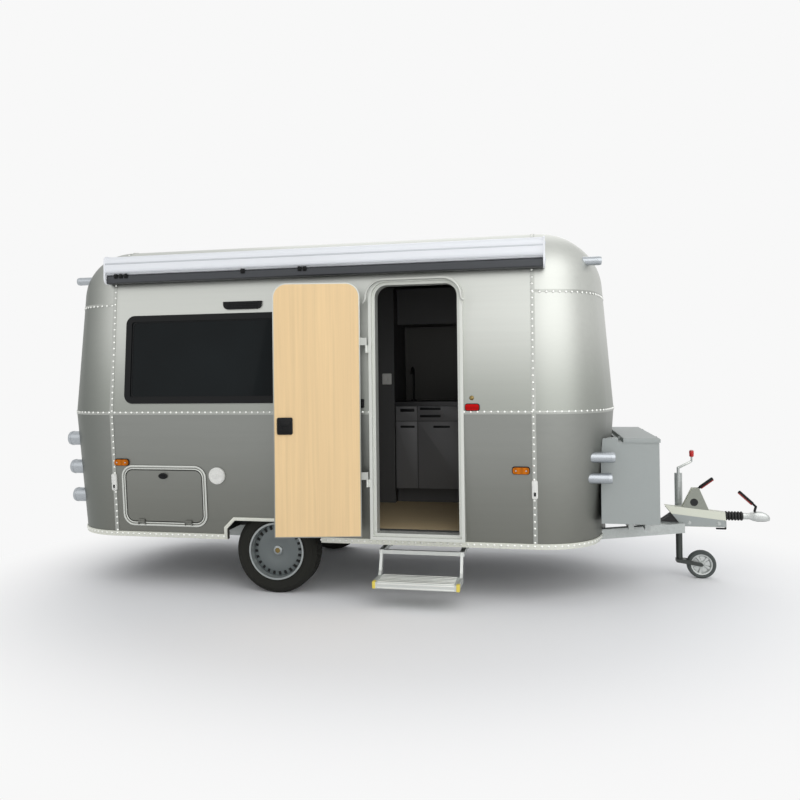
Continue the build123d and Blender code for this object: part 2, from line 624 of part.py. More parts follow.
def door_pieces():
    """Frame, leaf, lining, lock and hinges; what swings is drawn shut and turned open."""
    face, back = FRAME_FACE_Y, FRAME_FACE_Y + FRAME_DEPTH
    rebate = face + LEAF_THICK + LINING_THICK + RUN_GAP
    frame = doorway_prism(FRAME_MARGIN, (face, back))
    frame -= doorway_prism(DOOR_LAP + RUN_GAP, (face - OVERCUT, rebate))
    frame -= doorway_prism(0, (face, back + OVERCUT))

    leaf = doorway_prism(DOOR_LAP, (face, face + LEAF_THICK))
    inside = face + LEAF_THICK
    lining = doorway_prism(DOOR_LAP - LINING_MARGIN, (inside, inside + LINING_THICK))
    free_edge = DOOR_X + LEAF_WIDTH / 2
    lock_x = (free_edge - LOCK_EDGE - LOCK_WIDTH, free_edge - LOCK_EDGE)
    lock_z = (LOCK_Z - LOCK_HEIGHT / 2, LOCK_Z + LOCK_HEIGHT / 2)
    lock_y = inside + LINING_THICK
    inner_lock = block(lock_x, (lock_y, lock_y + LOCK_THICK), lock_z)
    inner_lock = fillet(inner_lock.edges().filter_by(Axis.Y), LOCK_EDGE / 2)
    outer_lock = block(lock_x, (face - LOCK_THICK / 2, face), lock_z)

    moving = []
    bore = HINGE_PIN_RADIUS + PIN_GAP
    for z in HINGES_Z:
        low, middle, high = z - HINGE_HEIGHT / 2, z, z + HINGE_HEIGHT / 2
        knuckle = rod((HINGE_X, HINGE_Y, low), (HINGE_X, HINGE_Y, middle - PIN_GAP), HINGE_RADIUS)
        knuckle += block((HINGE_X, HINGE_X + HINGE_OFFSET + DOOR_RIM), (face - HINGE_STRAP, face),
                         (low, middle - PIN_GAP))
        knuckle += rod((HINGE_X, HINGE_Y, low), (HINGE_X, HINGE_Y, high), HINGE_PIN_RADIUS)
        frame += knuckle
        strap = rod((HINGE_X, HINGE_Y, middle), (HINGE_X, HINGE_Y, high), HINGE_RADIUS)
        clear = HINGE_OUT - HINGE_STRAP - HINGE_RADIUS / 2
        strap += block((HINGE_X, HINGE_X + HINGE_STRAP_LENGTH), (face - clear - HINGE_STRAP, face - clear),
                       (middle, high))
        leaf_edge = DOOR_X - LEAF_WIDTH / 2
        strap += block((leaf_edge + RUN_GAP, HINGE_X + HINGE_STRAP_LENGTH), (face - clear, face),
                       (middle, high))
        strap -= rod((HINGE_X, HINGE_Y, low), (HINGE_X, HINGE_Y, high + OVERCUT), bore)
        moving.append(strap)

    hinge_axis = Axis((HINGE_X, HINGE_Y, 0), (0, 0, 1))

    def opened(piece):
        return piece.rotate(hinge_axis, -DOOR_OPEN)

    return {
        "door_frame": frame, "door_leaf": opened(leaf),
        "door_lining": opened(lining), "door_lock": [opened(inner_lock), opened(outer_lock)],
        "door_hinges_moving": [opened(piece) for piece in moving],
    }


def windows():
    """Black frame ring and dark pane in each side wall."""
    ring_outer = RectangleRounded(WINDOW_WIDTH - 2 * SEAT_GAP, WINDOW_HEIGHT - 2 * SEAT_GAP,
                                  WINDOW_RADIUS - SEAT_GAP)
    inner = [WINDOW_WIDTH - 2 * WINDOW_BORDER, WINDOW_HEIGHT - 2 * WINDOW_BORDER,
             WINDOW_RADIUS - WINDOW_BORDER]
    ring = ring_outer - RectangleRounded(*inner)
    pane = RectangleRounded(inner[0] - 2 * SEAT_GAP, inner[1] - 2 * SEAT_GAP, inner[2] - SEAT_GAP)
    frames = [on_wall(side, WINDOW_X, WINDOW_Z, ring, -WALL, WINDOW_PROUD) for side in SIDES]
    panes = [on_wall(side, WINDOW_X, WINDOW_Z, pane, -PANE_THICK, 0) for side in SIDES]
    return {"window_frames": frames, "window_panes": panes}


def locker():
    """Locker surround, hatch hinged along its foot, and its lock."""
    at = (RIGHT, LOCKER_X, LOCKER_Z)
    plane = wall_plane(*at)
    hole = [LOCKER_WIDTH - 2 * LOCKER_BORDER, LOCKER_HEIGHT - 2 * LOCKER_BORDER,
            LOCKER_RADIUS - LOCKER_BORDER]
    border = RectangleRounded(LOCKER_WIDTH, LOCKER_HEIGHT, LOCKER_RADIUS) - RectangleRounded(*hole)
    frame = on_wall(*at, border, 0, LOCKER_PROUD)
    leaf = RectangleRounded(hole[0] - 2 * RUN_GAP, hole[1] - 2 * RUN_GAP, hole[2] - RUN_GAP)
    hatch = on_wall(*at, leaf, LOCKER_PROUD - LOCKER_THICK, LOCKER_PROUD)
    pin_out = LOCKER_PROUD + LOCKER_PIN_OUT
    for x in LOCKER_KNUCKLES_X:
        half = LOCKER_KNUCKLE_LENGTH / 2

        def local(dx, down, out):
            return tuple(plane.from_local_coords(Vector(x + dx, -LOCKER_PIN_DOWN + down, out)))

        arm = 2 * LOCKER_KNUCKLE_RADIUS + RUN_GAP
        tab = Pos(x, -LOCKER_PIN_DOWN + arm / 2, 0) * Rectangle(LOCKER_KNUCKLE_LENGTH, arm)
        hatch += on_wall(*at, tab, LOCKER_PROUD, pin_out)
        hatch += rod(local(-half, 0, pin_out), local(half, 0, pin_out), LOCKER_KNUCKLE_RADIUS)
        hatch -= rod(local(-half - OVERCUT, 0, pin_out), local(half + OVERCUT, 0, pin_out),
                     LOCKER_PIN_RADIUS + PIN_GAP)
        ear = half + LOCKER_KNUCKLE_RADIUS
        pin = rod(local(-ear, 0, pin_out), local(ear, 0, pin_out), LOCKER_PIN_RADIUS)
        for end in (-1, 1):
            foot = Pos(x + end * (half + ear) / 2, -LOCKER_PIN_DOWN - LOCKER_KNUCKLE_RADIUS) * Rectangle(
                ear - half - OVERCUT, 4 * LOCKER_KNUCKLE_RADIUS)
            pin += on_wall(*at, foot, LOCKER_PROUD, pin_out + LOCKER_PIN_RADIUS)
        frame += pin
    lock_shape = Pos(0, hole[1] / 2 - RUN_GAP - LOCKER_LOCK_DROP) * Ellipse(LOCKER_LOCK_WIDTH / 2,
                                                                         LOCKER_LOCK_HEIGHT / 2)
    hatch += on_wall(*at, lock_shape, LOCKER_PROUD, LOCKER_PROUD + LOCKER_LOCK_PROUD)
    return {"locker_frame": frame, "locker_hatch": hatch}


def wall_badge(side, x, z, size, seat, corner):
    """A small rounded plate seated on the wall."""
    width, height, proud = size
    return on_wall(side, x, z, RectangleRounded(width, height, corner), -proud, proud) - seat


def pod(way, side, row, seat):
    """A round lamp body that points along x and grows out of the shell's front or rear."""
    past, inboard, z, radius = row
    seam = SEAM_FRONT if way > 0 else SEAM_REAR
    tip, y = seam + way * past, side * (BELT_HALF - inboard)
    body = rod((tip - way * POD_REACH, y, z), (tip, y, z), radius)
    last = -1 if way > 0 else 0
    body = fillet(body.edges().sort_by(Axis.X)[last], POD_ROUND)
    return (body - seat).solids().sort_by(Axis.X)[last]


def lamps(seat):
    """Markers, seam lamps, entry lamp and the round lamps at the ends."""
    front, rear = 1, -1
    under_roof = [(past, inboard, ROOF_Z - down, radius) for past, inboard, down, radius in CLEARANCE_LAMPS]
    pods = (("rear_lamps", REAR_LAMPS, (rear,)), ("front_lamps", FRONT_LAMPS, (front,)),
            ("clearance_lamps", under_roof, (rear, front)))
    pieces = {name: [pod(way, side, row, seat) for row in rows for way in ways for side in SIDES]
              for name, rows, ways in pods}
    (rear_in, rear_z), (front_in, front_z) = MARKERS
    marker_places = ((SEAM_REAR + rear_in, rear_z), (SEAM_FRONT - front_in, front_z))
    pieces["side_markers"] = [wall_badge(side, x, z, MARKER_SIZE, seat, MARKER_SIZE[1] / 3)
                              for x, z in marker_places for side in SIDES]
    pieces["seam_lamps"] = [wall_badge(side, x, SEAM_LAMP_Z, SEAM_LAMP_SIZE, seat, SEAM_LAMP_SIZE[0] / 3)
                            for x in (SEAM_FRONT, SEAM_REAR) for side in SIDES]
    pieces["entry_lamp"] = wall_badge(RIGHT, ENTRY_LAMP_X, ENTRY_LAMP_Z, ENTRY_LAMP_SIZE, seat,
                                      ENTRY_LAMP_SIZE[1] / 3)
    return pieces


def awning(seat):
    """Awning cassette under the roof's right edge, its lead rail, end caps and brackets."""
    def along(sketch, x):
        return extrude(Plane.YZ.offset(x[0]) * sketch, amount=x[1] - x[0])

    span = (AWNING_REAR + END_CAP_THICK, AWNING_FRONT - END_CAP_THICK)
    rail_z = AWNING_Z - CASSETTE_HEIGHT / 2 - LEAD_RAIL_HEIGHT / 2
    cassette = Pos(AWNING_Y, AWNING_Z) * RectangleRounded(CASSETTE_DEPTH, CASSETTE_HEIGHT, CASSETTE_RADIUS)
    rail = Pos(AWNING_Y, rail_z) * RectangleRounded(LEAD_RAIL_DEPTH, LEAD_RAIL_HEIGHT, LEAD_RAIL_RADIUS)
    cap_height = CASSETTE_HEIGHT + LEAD_RAIL_HEIGHT + 2 * END_CAP_MARGIN
    cap = Pos(AWNING_Y, AWNING_Z - LEAD_RAIL_HEIGHT / 2) * RectangleRounded(
        CASSETTE_DEPTH + 2 * END_CAP_MARGIN, cap_height, CASSETTE_RADIUS)
    caps = [along(cap, (AWNING_REAR, span[0])) - seat, along(cap, (span[1], AWNING_FRONT)) - seat]
    width, depth, height = AWNING_BRACKET
    back = AWNING_Y + CASSETTE_DEPTH / 2
    case = along(cassette, span) - seat
    for x in AWNING_BRACKETS_X:
        bracket = block((x - width / 2, x + width / 2), (AWNING_Y, back + depth),
                        (AWNING_Z - height / 2, AWNING_Z))
        case += (bracket - seat).solids().sort_by(Axis.Y)[0]
    return {"awning_cassette": case, "awning_lead_rail": along(rail, span) - seat, "awning_end_caps": caps}


def step():
    """Square guide tubes under the rail, the carriage that slides in them, and its tread."""
    half, bore = GUIDE_SIZE / 2, GUIDE_SIZE / 2 - GUIDE_WALL
    slider = bore - SLIDER_GAP
    guides = []
    for x in STEP_X:
        span = (GUIDE_OUTER_Y, GUIDE_OUTER_Y + GUIDE_LENGTH)
        tube = block((x - half, x + half), span, (GUIDE_Z - half, GUIDE_Z + half))
        guides.append(tube - block((x - bore, x + bore), span, (GUIDE_Z - bore, GUIDE_Z + bore)))
    outer_x = (STEP_X[0] - ARM_WIDTH / 2, STEP_X[1] + ARM_WIDTH / 2)
    bar_half = STEP_BAR / 2
    carriage = block(outer_x, (STEP_BAR_Y, STEP_BAR_Y + STEP_BAR), (GUIDE_Z - bar_half, GUIDE_Z + bar_half))
    tread_low, front_y = TREAD_TOP_Z - TREAD_NOSE, TREAD_BACK_Y - TREAD_DEPTH
    for x in STEP_X:
        carriage += block((x - slider, x + slider), (STEP_BAR_Y, STEP_BAR_Y + SLIDER_LENGTH),
                          (GUIDE_Z - slider, GUIDE_Z + slider))
        arm = [(STEP_BAR_Y, GUIDE_Z + bar_half), (STEP_BAR_Y + STEP_BAR, GUIDE_Z + bar_half),
               (TREAD_BACK_Y + STEP_BAR, tread_low), (front_y, tread_low), (front_y, TREAD_TOP_Z),
               (TREAD_BACK_Y - STEP_BAR, TREAD_TOP_Z), (TREAD_BACK_Y, TREAD_TOP_Z + STEP_BAR)]
        carriage += plate_yz(arm, (x - ARM_WIDTH / 2, x + ARM_WIDTH / 2))
    tread_x = (STEP_X[0] + ARM_WIDTH / 2, STEP_X[1] - ARM_WIDTH / 2)
    tread = block(tread_x, (front_y, TREAD_BACK_Y), (TREAD_TOP_Z - TREAD_THICK, TREAD_TOP_Z - TREAD_RIB))
    tread += block(tread_x, (front_y, front_y + TREAD_NOSE_THICK), (tread_low, TREAD_TOP_Z))
    tread += block(tread_x, (TREAD_BACK_Y - TREAD_NOSE_THICK, TREAD_BACK_Y), (tread_low, TREAD_TOP_Z))
    ribs = int((TREAD_DEPTH - 3 * TREAD_NOSE_THICK) / TREAD_RIB_PITCH)
    for index in range(ribs):
        rib_y = front_y + 2 * TREAD_NOSE_THICK + index * TREAD_RIB_PITCH
        tread += block(tread_x, (rib_y, rib_y + TREAD_RIB_PITCH / 2),
                       (TREAD_TOP_Z - TREAD_THICK, TREAD_TOP_Z))
    return {"step_guides": guides, "step_carriage": carriage, "step_tread": tread}


def storage_box():
    """Open box on the drawbar, wrapped round the shell's bow, and a lid hinged near its rear edge."""
    half, back = BOX_WIDTH / 2, BOX_REAR - BOX_WRAP
    outer = block((back, BOX_FRONT), (-half, half), (BOX_BOTTOM_Z, BOX_TOP_Z)) - shell_form(-BOX_GAP)
    inside = half - BOX_WALL
    room = block((back + BOX_WALL, BOX_FRONT - BOX_WALL), (-inside, inside),
                 (BOX_BOTTOM_Z + BOX_WALL, BOX_TOP_Z + OVERCUT)) - shell_form(-BOX_GAP - BOX_WALL)
    deck = outer & block((back, BOX_REAR), (-half, half), (BOX_TOP_Z - BOX_WALL, BOX_TOP_Z))
    box = outer - room + deck
    for side in SIDES:
        cheek = block((back, LID_PIN_X - LID_SWING), (side * (half - CHEEK_DEPTH), side * half),
                      (BOX_TOP_Z - BOX_WALL, BOX_TOP_Z + LID_THICK))
        box += cheek - shell_form(-BOX_GAP)
    lid = block((BOX_REAR, BOX_FRONT + LID_OVERHANG), (-half - LID_OVERHANG, half + LID_OVERHANG),
                (BOX_TOP_Z, BOX_TOP_Z + LID_THICK))
    lid = fillet(lid.faces().sort_by(Axis.Z)[-1].edges(), LID_OVERHANG)
    for y in LID_KNUCKLES_Y:
        near, far = y - LID_KNUCKLE_LENGTH / 2, y + LID_KNUCKLE_LENGTH / 2
        pin = (LID_PIN_X, LID_PIN_Z)
        lid += block((LID_PIN_X, BOX_REAR + LID_OVERHANG), (near, far),
                     (LID_PIN_Z - LID_KNUCKLE_RADIUS, LID_PIN_Z + LID_KNUCKLE_RADIUS))
        lid += rod((pin[0], near, pin[1]), (pin[0], far, pin[1]), LID_KNUCKLE_RADIUS)
        lid -= rod((pin[0], near - OVERCUT, pin[1]), (pin[0], far + OVERCUT, pin[1]),
                   LID_PIN_RADIUS + PIN_GAP)
        for start in (near - PIN_GAP - LID_EAR_THICK, far + PIN_GAP):
            stop = start + LID_EAR_THICK
            box += rod((pin[0], start, pin[1]), (pin[0], stop, pin[1]), LID_EAR_RADIUS)
            low = LID_PIN_Z - LID_EAR_DROP
            box += block((LID_PIN_X - LID_EAR_RADIUS, LID_PIN_X + LID_EAR_RADIUS), (start, stop),
                         (low, LID_PIN_Z))
            box += block((LID_PIN_X, BOX_REAR), (start, stop), (low, BOX_TOP_Z - RUN_GAP))
        box += rod((pin[0], near - PIN_GAP - LID_EAR_THICK, pin[1]),
                   (pin[0], far + PIN_GAP + LID_EAR_THICK, pin[1]), LID_PIN_RADIUS)
    return {"storage_box": box, "storage_lid": lid}


def coupling():
    """Overrun housing, handbrake, cable hook, bellows, coupling head with its ball socket, and lever."""
    half = HOUSING_WIDTH / 2
    outline = [(BEAM_FRONT, HOUSING_DROP_Z), (HOUSING_FRONT, HOUSING_DROP_Z),
               (HOUSING_FRONT, HOUSING_FRONT_TOP_Z), (HOUSING_REAR, HOUSING_REAR_TOP_Z),
               (HOUSING_REAR + HOUSING_SLOPE, FLOOR_Z), (BEAM_FRONT, FLOOR_Z)]
    housing = plate_xz(outline, (-half, half))
    roof = housing.faces().sort_by(Axis.Z)[-1]
    long_edges = [edge for edge in roof.edges() if abs(abs(edge.center().Y) - half) < SEAT_GAP]
    housing = chamfer(long_edges, HOUSING_BEVEL[0], HOUSING_BEVEL[1], reference=roof)
    slope = (HOUSING_REAR_TOP_Z - HOUSING_FRONT_TOP_Z) / (HOUSING_FRONT - HOUSING_REAR)

    def top_z(x):
        return HOUSING_REAR_TOP_Z - slope * (x - HOUSING_REAR)

    base_rear, base_front = (HOUSING_REAR + ahead for ahead in BRACKET_BASE)
    apex_x, apex_z = HOUSING_REAR + BRACKET_APEX[0], BRACKET_APEX[1]
    triangle = [(base_rear, top_z(base_rear)), (base_front, top_z(base_front)),
                (apex_x + BRACKET_TIP, apex_z), (apex_x - BRACKET_TIP, apex_z)]
    for side in SIDES:
        housing += plate_xz(triangle, (side * BRACKET_HALF, side * (BRACKET_HALF + BRACKET_THICK)))
    handbrake_points = [(HOUSING_REAR + ahead, z) for ahead, z in HANDBRAKE_LEVER]
    handbrake = bar(handbrake_points, 0, LEVER_WIDTH)
    pivot_x, pivot_z = handbrake_points[0]
    reach = BRACKET_HALF - PIN_GAP
    handbrake += rod((pivot_x, -reach, pivot_z), (pivot_x, reach, pivot_z), HANDBRAKE_PIVOT_RADIUS)

    pitch = BELLOWS_LENGTH / BELLOWS_FOLDS
    fold = [(HOUSING_FRONT, 0), (HOUSING_FRONT, BELLOWS_ROOT)]
    for index in range(BELLOWS_FOLDS):
        start = HOUSING_FRONT + index * pitch
        fold += [(start + pitch * 0.3, BELLOWS_RADIUS), (start + pitch * 0.7, BELLOWS_RADIUS),
                 (start + pitch, BELLOWS_ROOT)]
    fold.append((HOUSING_FRONT + BELLOWS_LENGTH, 0))
    bellows = Pos(0, 0, COUPLING_Z) * revolve(Plane.XZ * Polygon(*fold, align=None), Axis.X)

    head_rear = HOUSING_FRONT + BELLOWS_LENGTH
    shoulder = head_rear + COUPLING_NECK_LENGTH
    low, high = COUPLING_Z - COUPLING_HEIGHT / 2, COUPLING_Z + COUPLING_HEIGHT / 2
    head = rod((head_rear, 0, COUPLING_Z), (shoulder, 0, COUPLING_Z), COUPLING_NECK / 2)
    body = block((shoulder - OVERCUT, COUPLING_NOSE), (-COUPLING_WIDTH / 2, COUPLING_WIDTH / 2), (low, high))
    nose_edges = body.edges().filter_by(Axis.Z).group_by(Axis.X)[-1]
    body = fillet(nose_edges, COUPLING_WIDTH * 0.45)
    body = fillet(body.faces().sort_by(Axis.Z)[-1].edges(), COUPLING_HEIGHT * 0.25)
    head += body
    head -= rod((BALL_X, 0, low - OVERCUT), (BALL_X, 0, low + BALL_SOCKET_DEPTH), BALL_RADIUS + BALL_GAP)
    lever = bar([(COUPLING_NOSE - behind, z) for behind, z in COUPLING_LEVER], 0, LEVER_WIDTH) - head
    hook_low, hook_front = HOOK_TOP_Z - HOOK_DROP, HOUSING_FRONT + HOOK_THICK
    hook = plate_xz([(HOUSING_FRONT, HOOK_TOP_Z), (hook_front, HOOK_TOP_Z), (hook_front, hook_low),
                     (hook_front - HOOK_REACH, hook_low), (hook_front - HOOK_REACH, hook_low + HOOK_THICK),
                     (HOUSING_FRONT, hook_low + HOOK_THICK)], (-HOOK_WIDTH / 2, HOOK_WIDTH / 2))
    return {"overrun_housing": housing, "overrun_bellows": bellows, "coupling_head": head,
            "hitch_levers": [handbrake, lever, hook]}


def jockey():
    """Clamp and outer tube, crank, sliding leg, swivelling fork and wheel."""
    at = (JOCKEY_X, JOCKEY_Y)
    bore = JOCKEY_TUBE_RADIUS - JOCKEY_TUBE_WALL
    tube = rod((*at, JOCKEY_TUBE_BOTTOM_Z), (*at, JOCKEY_TUBE_TOP_Z), JOCKEY_TUBE_RADIUS)
    clamp_z = FLOOR_Z - BEAM_HEIGHT / 2
    low, high = clamp_z - CLAMP_HEIGHT / 2, clamp_z + CLAMP_HEIGHT / 2
    ring_radius = JOCKEY_TUBE_RADIUS + CLAMP_RING
    clamp = rod((*at, low), (*at, high), ring_radius)
    clamp += block((JOCKEY_X - CLAMP_BLOCK, JOCKEY_X), (BEAM_FRONT_Y, JOCKEY_Y), (low, high))
    clamp -= beam_prism(LEFT, SEAT_GAP)
    clamp = clamp.solids().sort_by(SortBy.VOLUME)[-1]
    screw_y = JOCKEY_Y + ring_radius - CLAMP_RING / 2
    clamp += rod((JOCKEY_X, screw_y, clamp_z), (JOCKEY_X, screw_y + CLAMP_HANDLE / 2, clamp_z),
                 CLAMP_SCREW_RADIUS)
    handle_y = screw_y + CLAMP_HANDLE / 2 - CLAMP_SCREW_RADIUS
    clamp += rod((JOCKEY_X, handle_y, clamp_z + CLAMP_HANDLE / 4),
                 (JOCKEY_X, handle_y, clamp_z - CLAMP_HANDLE), CLAMP_HANDLE_RADIUS)
    tube += clamp
    tube -= rod((*at, JOCKEY_TUBE_BOTTOM_Z - OVERCUT), (*at, JOCKEY_TUBE_TOP_Z - JOCKEY_CAP), bore)

    elbow, hand = (*at, CRANK_NECK_Z), (JOCKEY_X + CRANK_THROW, JOCKEY_Y, CRANK_ARM_Z)
    crank = rod((*at, JOCKEY_TUBE_TOP_Z), elbow, CRANK_RADIUS * 1.6)
    crank += Pos(*elbow) * Sphere(CRANK_RADIUS * 1.6) + rod(elbow, hand, CRANK_RADIUS)
    top = (hand[0], JOCKEY_Y, CRANK_TOP_Z)
    crank += Pos(*hand) * Sphere(CRANK_RADIUS) + rod(hand, top, CRANK_RADIUS)
    knob = rod(top, (top[0], JOCKEY_Y, CRANK_TOP_Z + KNOB_LENGTH), KNOB_RADIUS)
    knob = fillet(knob.edges(), KNOB_RADIUS * 0.5)

    leg = rod((*at, JOCKEY_LEG_BOTTOM_Z), (*at, JOCKEY_LEG_TOP_Z), LEG_RADIUS)
    leg -= rod((*at, JOCKEY_LEG_BOTTOM_Z - OVERCUT), (*at, JOCKEY_LEG_BOTTOM_Z + FORK_STEM + RUN_GAP),
               FORK_STEM_RADIUS + PIN_GAP)
    head_top = JOCKEY_LEG_BOTTOM_Z - PIN_GAP
    fork = rod((*at, head_top - FORK_HEAD), (*at, head_top), LEG_RADIUS)
    fork += rod((*at, head_top), (*at, JOCKEY_LEG_BOTTOM_Z + FORK_STEM), FORK_STEM_RADIUS)
    axle_x, axle_y, axle_z = JOCKEY_AXLE
    cheek = JOCKEY_WHEEL_WIDTH / 2 + FORK_GAP
    yoke_x = (JOCKEY_X - LEG_RADIUS, axle_x - JOCKEY_WHEEL_RADIUS - RUN_GAP)
    fork += block(yoke_x, (axle_y - cheek - FORK_THICK, axle_y + cheek + FORK_THICK),
                  (head_top - FORK_HEAD, head_top))
    for side in SIDES:
        span = (axle_y + side * cheek, axle_y + side * (cheek + FORK_THICK))
        arm = [(yoke_x[0], head_top - FORK_HEAD), (axle_x, axle_z - 2 * JOCKEY_AXLE_RADIUS),
               (axle_x + 2 * JOCKEY_AXLE_RADIUS, axle_z), (axle_x, axle_z + 2 * JOCKEY_AXLE_RADIUS),
               (yoke_x[1], head_top), (yoke_x[0], head_top)]
        fork += plate_xz(arm, span)
    fork += rod((axle_x, axle_y - cheek, axle_z), (axle_x, axle_y + cheek, axle_z), JOCKEY_AXLE_RADIUS)
    wheel = Pos(*JOCKEY_AXLE) * Rot(90, 0, 0) * Cylinder(JOCKEY_WHEEL_RADIUS, JOCKEY_WHEEL_WIDTH)
    wheel = fillet(wheel.edges(), JOCKEY_WHEEL_WIDTH * 0.28)
    wheel -= rod((axle_x, axle_y - cheek, axle_z), (axle_x, axle_y + cheek, axle_z),
                 JOCKEY_AXLE_RADIUS + PIN_GAP)
    return {"jockey_tube": tube, "jockey_crank": crank + knob, "jockey_leg": leg, "jockey_fork": fork,
            "jockey_wheel": wheel}


def fittings():
    """Kitchen along the left wall, seen through the doorway, and a tall cupboard behind it."""
    front, back = KITCHEN_FRONT_Y, BELT_HALF
    under, head_z = COUNTER_TOP_Z - COUNTER_THICK, ROOF_Z - OVERHEAD_DROP
    cabinet = block(KITCHEN_X, (front, back), (PLINTH_Z, under))
    cabinet += block(KITCHEN_X, (front + PLINTH_DEPTH, back), (FLOOR_TOP, PLINTH_Z))
    counter = block(KITCHEN_X, (front - COUNTER_OVERHANG, back), (under, COUNTER_TOP_Z))
    overhead = block(KITCHEN_X, (OVERHEAD_FRONT_Y, back), (head_z - OVERHEAD_HEIGHT, head_z))
    cupboard = block(CUPBOARD_X, (front, back), (FLOOR_TOP, head_z))
    room = shell_form(WALL + SEAT_GAP)
    foot, neck = (TAP_X, TAP_Y, COUNTER_TOP_Z), (TAP_X, TAP_Y, COUNTER_TOP_Z + TAP_RISE - TAP_BEND)
    tap = rod(foot, (TAP_X, TAP_Y, COUNTER_TOP_Z + TAP_FOOT), TAP_FOOT_RADIUS) + rod(foot, neck, TAP_RADIUS)
    spout = Plane(origin=neck) * Circle(TAP_RADIUS)
    bend_axis = Axis((TAP_X, TAP_Y - TAP_BEND, neck[2]), (1, 0, 0))
    tap += revolve(spout, bend_axis, revolution_arc=180)
    return {"kitchen_cabinet": cabinet & room, "kitchen_counter": counter & room,
            "cabin_lockers": [overhead & room, cupboard & room], "kitchen_tap": tap}


def trailer():
    """Every piece by its node's name."""
    outer = shell_form(0)
    seat = shell_form(-SEAT_GAP)
    pieces = shell_panels(outer)
    pieces["floor_pan"] = floor_pan()
    pieces["sill_rail"] = sill_rail(seat)
    pieces.update(chassis())
    pieces["axle"] = axle()
    for side, name in zip(SIDES, ("right", "left")):
        pieces[f"wheel_{name}_tyre"] = tyre(side)
        pieces[f"wheel_{name}_rim"] = rim(side)
    for group in (door_pieces(), windows(), locker(), lamps(seat), awning(seat), step(), storage_box(),
                  coupling(), jockey(), fittings()):
        pieces.update(group)
    slot = Rectangle(SLOT_WIDTH, SLOT_HEIGHT)
    slot = fillet(slot.vertices().group_by(Axis.Y)[0], SLOT_RADIUS)
    pieces["side_slot"] = on_wall(RIGHT, SLOT_X, SLOT_Z, slot, 0, SLOT_PROUD)
    pieces["service_cap"] = on_wall(RIGHT, CAP_X, CAP_Z, Circle(CAP_RADIUS), 0, CAP_PROUD)
    return pieces


os.makedirs("parts", exist_ok=True)
for node, piece in trailer().items():
    solids = piece if isinstance(piece, list) else [piece]
    solids = [solid for item in solids for solid in item.solids()]
    moved = Pos(-ORIGIN_X, -ORIGIN_Y, 0) * Compound(solids)
    export_step(moved, f"parts/{node}.step")
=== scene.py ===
"""Looks for the riveted aluminium travel trailer: finishes, rivets, tyres and fine fittings."""

import json
import math

import bmesh
import bpy
from bpy.props import FloatProperty, FloatVectorProperty, PointerProperty
from bpy.types import Operator, Panel, PropertyGroup
from mathutils import Matrix, Vector
from mathutils.bvhtree import BVHTree


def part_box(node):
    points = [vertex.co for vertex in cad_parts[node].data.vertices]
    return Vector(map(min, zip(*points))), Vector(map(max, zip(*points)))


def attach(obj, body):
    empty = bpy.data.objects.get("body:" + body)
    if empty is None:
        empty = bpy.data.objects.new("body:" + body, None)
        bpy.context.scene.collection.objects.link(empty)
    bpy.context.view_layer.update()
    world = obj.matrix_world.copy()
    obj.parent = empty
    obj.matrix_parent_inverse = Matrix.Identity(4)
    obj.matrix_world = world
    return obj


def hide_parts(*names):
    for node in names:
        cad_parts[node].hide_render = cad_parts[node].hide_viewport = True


bl_info = {
    "name": "Travel trailer looks",
    "version": (1, 0, 0),
    "blender": (4, 5, 0),
    "location": "View3D > Sidebar > Trailer",
    "description": "Dresses the packed travel trailer with its finishes and fine fittings",
    "category": "Object",
}

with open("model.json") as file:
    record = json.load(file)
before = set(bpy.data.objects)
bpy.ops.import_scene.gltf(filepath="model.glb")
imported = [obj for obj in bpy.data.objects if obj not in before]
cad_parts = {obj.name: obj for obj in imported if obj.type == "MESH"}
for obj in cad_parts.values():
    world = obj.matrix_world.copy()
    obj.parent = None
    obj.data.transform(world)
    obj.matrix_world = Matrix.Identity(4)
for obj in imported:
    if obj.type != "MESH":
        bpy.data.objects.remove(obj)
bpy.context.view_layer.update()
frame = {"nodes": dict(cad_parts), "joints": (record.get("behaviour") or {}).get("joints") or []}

# Places read from the frame, in metres
SEAM_REAR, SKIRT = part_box("side_right_lower")[0].x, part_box("side_right_lower")[0].z
SEAM_FRONT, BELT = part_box("side_right_lower")[1].x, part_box("side_right_lower")[1].z
UPPER_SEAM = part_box("side_right_upper")[1].z
CENTRE_Y = (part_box("roof_middle")[0].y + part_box("roof_middle")[1].y) / 2
CABIN_MIDDLE = Vector(((SEAM_REAR + SEAM_FRONT) / 2, CENTRE_Y, BELT))
JOINTS = {joint["name"]: joint for joint in frame["joints"]}
SHELL = [f"side_{side}_{level}" for side in ("right", "left") for level in ("lower", "upper")]
SHELL += [f"end_{end}_{level}" for end in ("front", "rear") for level in ("lower", "upper")]
SHELL += ["roof_middle", "roof_domes"]

RIGHT, LEFT = -1, 1
SIDES = ((RIGHT, "right"), (LEFT, "left"))
FACING_RIGHT = (0, -1, 0)

# A colour mix's two inputs and its result, which share their names with other sockets
MIX_A, MIX_B, MIXED = 6, 7, 2

# The photograph's camera: place in metres, angles in degrees, lens in millimetres
CAMERA_PLACE = Vector((1.1532, -6.8159, 1.6484))
CAMERA_YAW, CAMERA_PITCH, CAMERA_ROLL = 12.4956, 0.5858, -0.6307
CAMERA_LENS, CAMERA_SENSOR = 36.64, 36.0
CAMERA_SHIFT = (0.0419, -0.0363)


def colour(text):
    """Turn an sRGB hex value into the linear colour that Blender works in."""
    parts = [int(text[i:i + 2], 16) / 255 for i in (1, 3, 5)]
    linear = [c / 12.92 if c <= 0.04045 else ((c + 0.055) / 1.055) ** 2.4 for c in parts]
    return (*linear, 1.0)


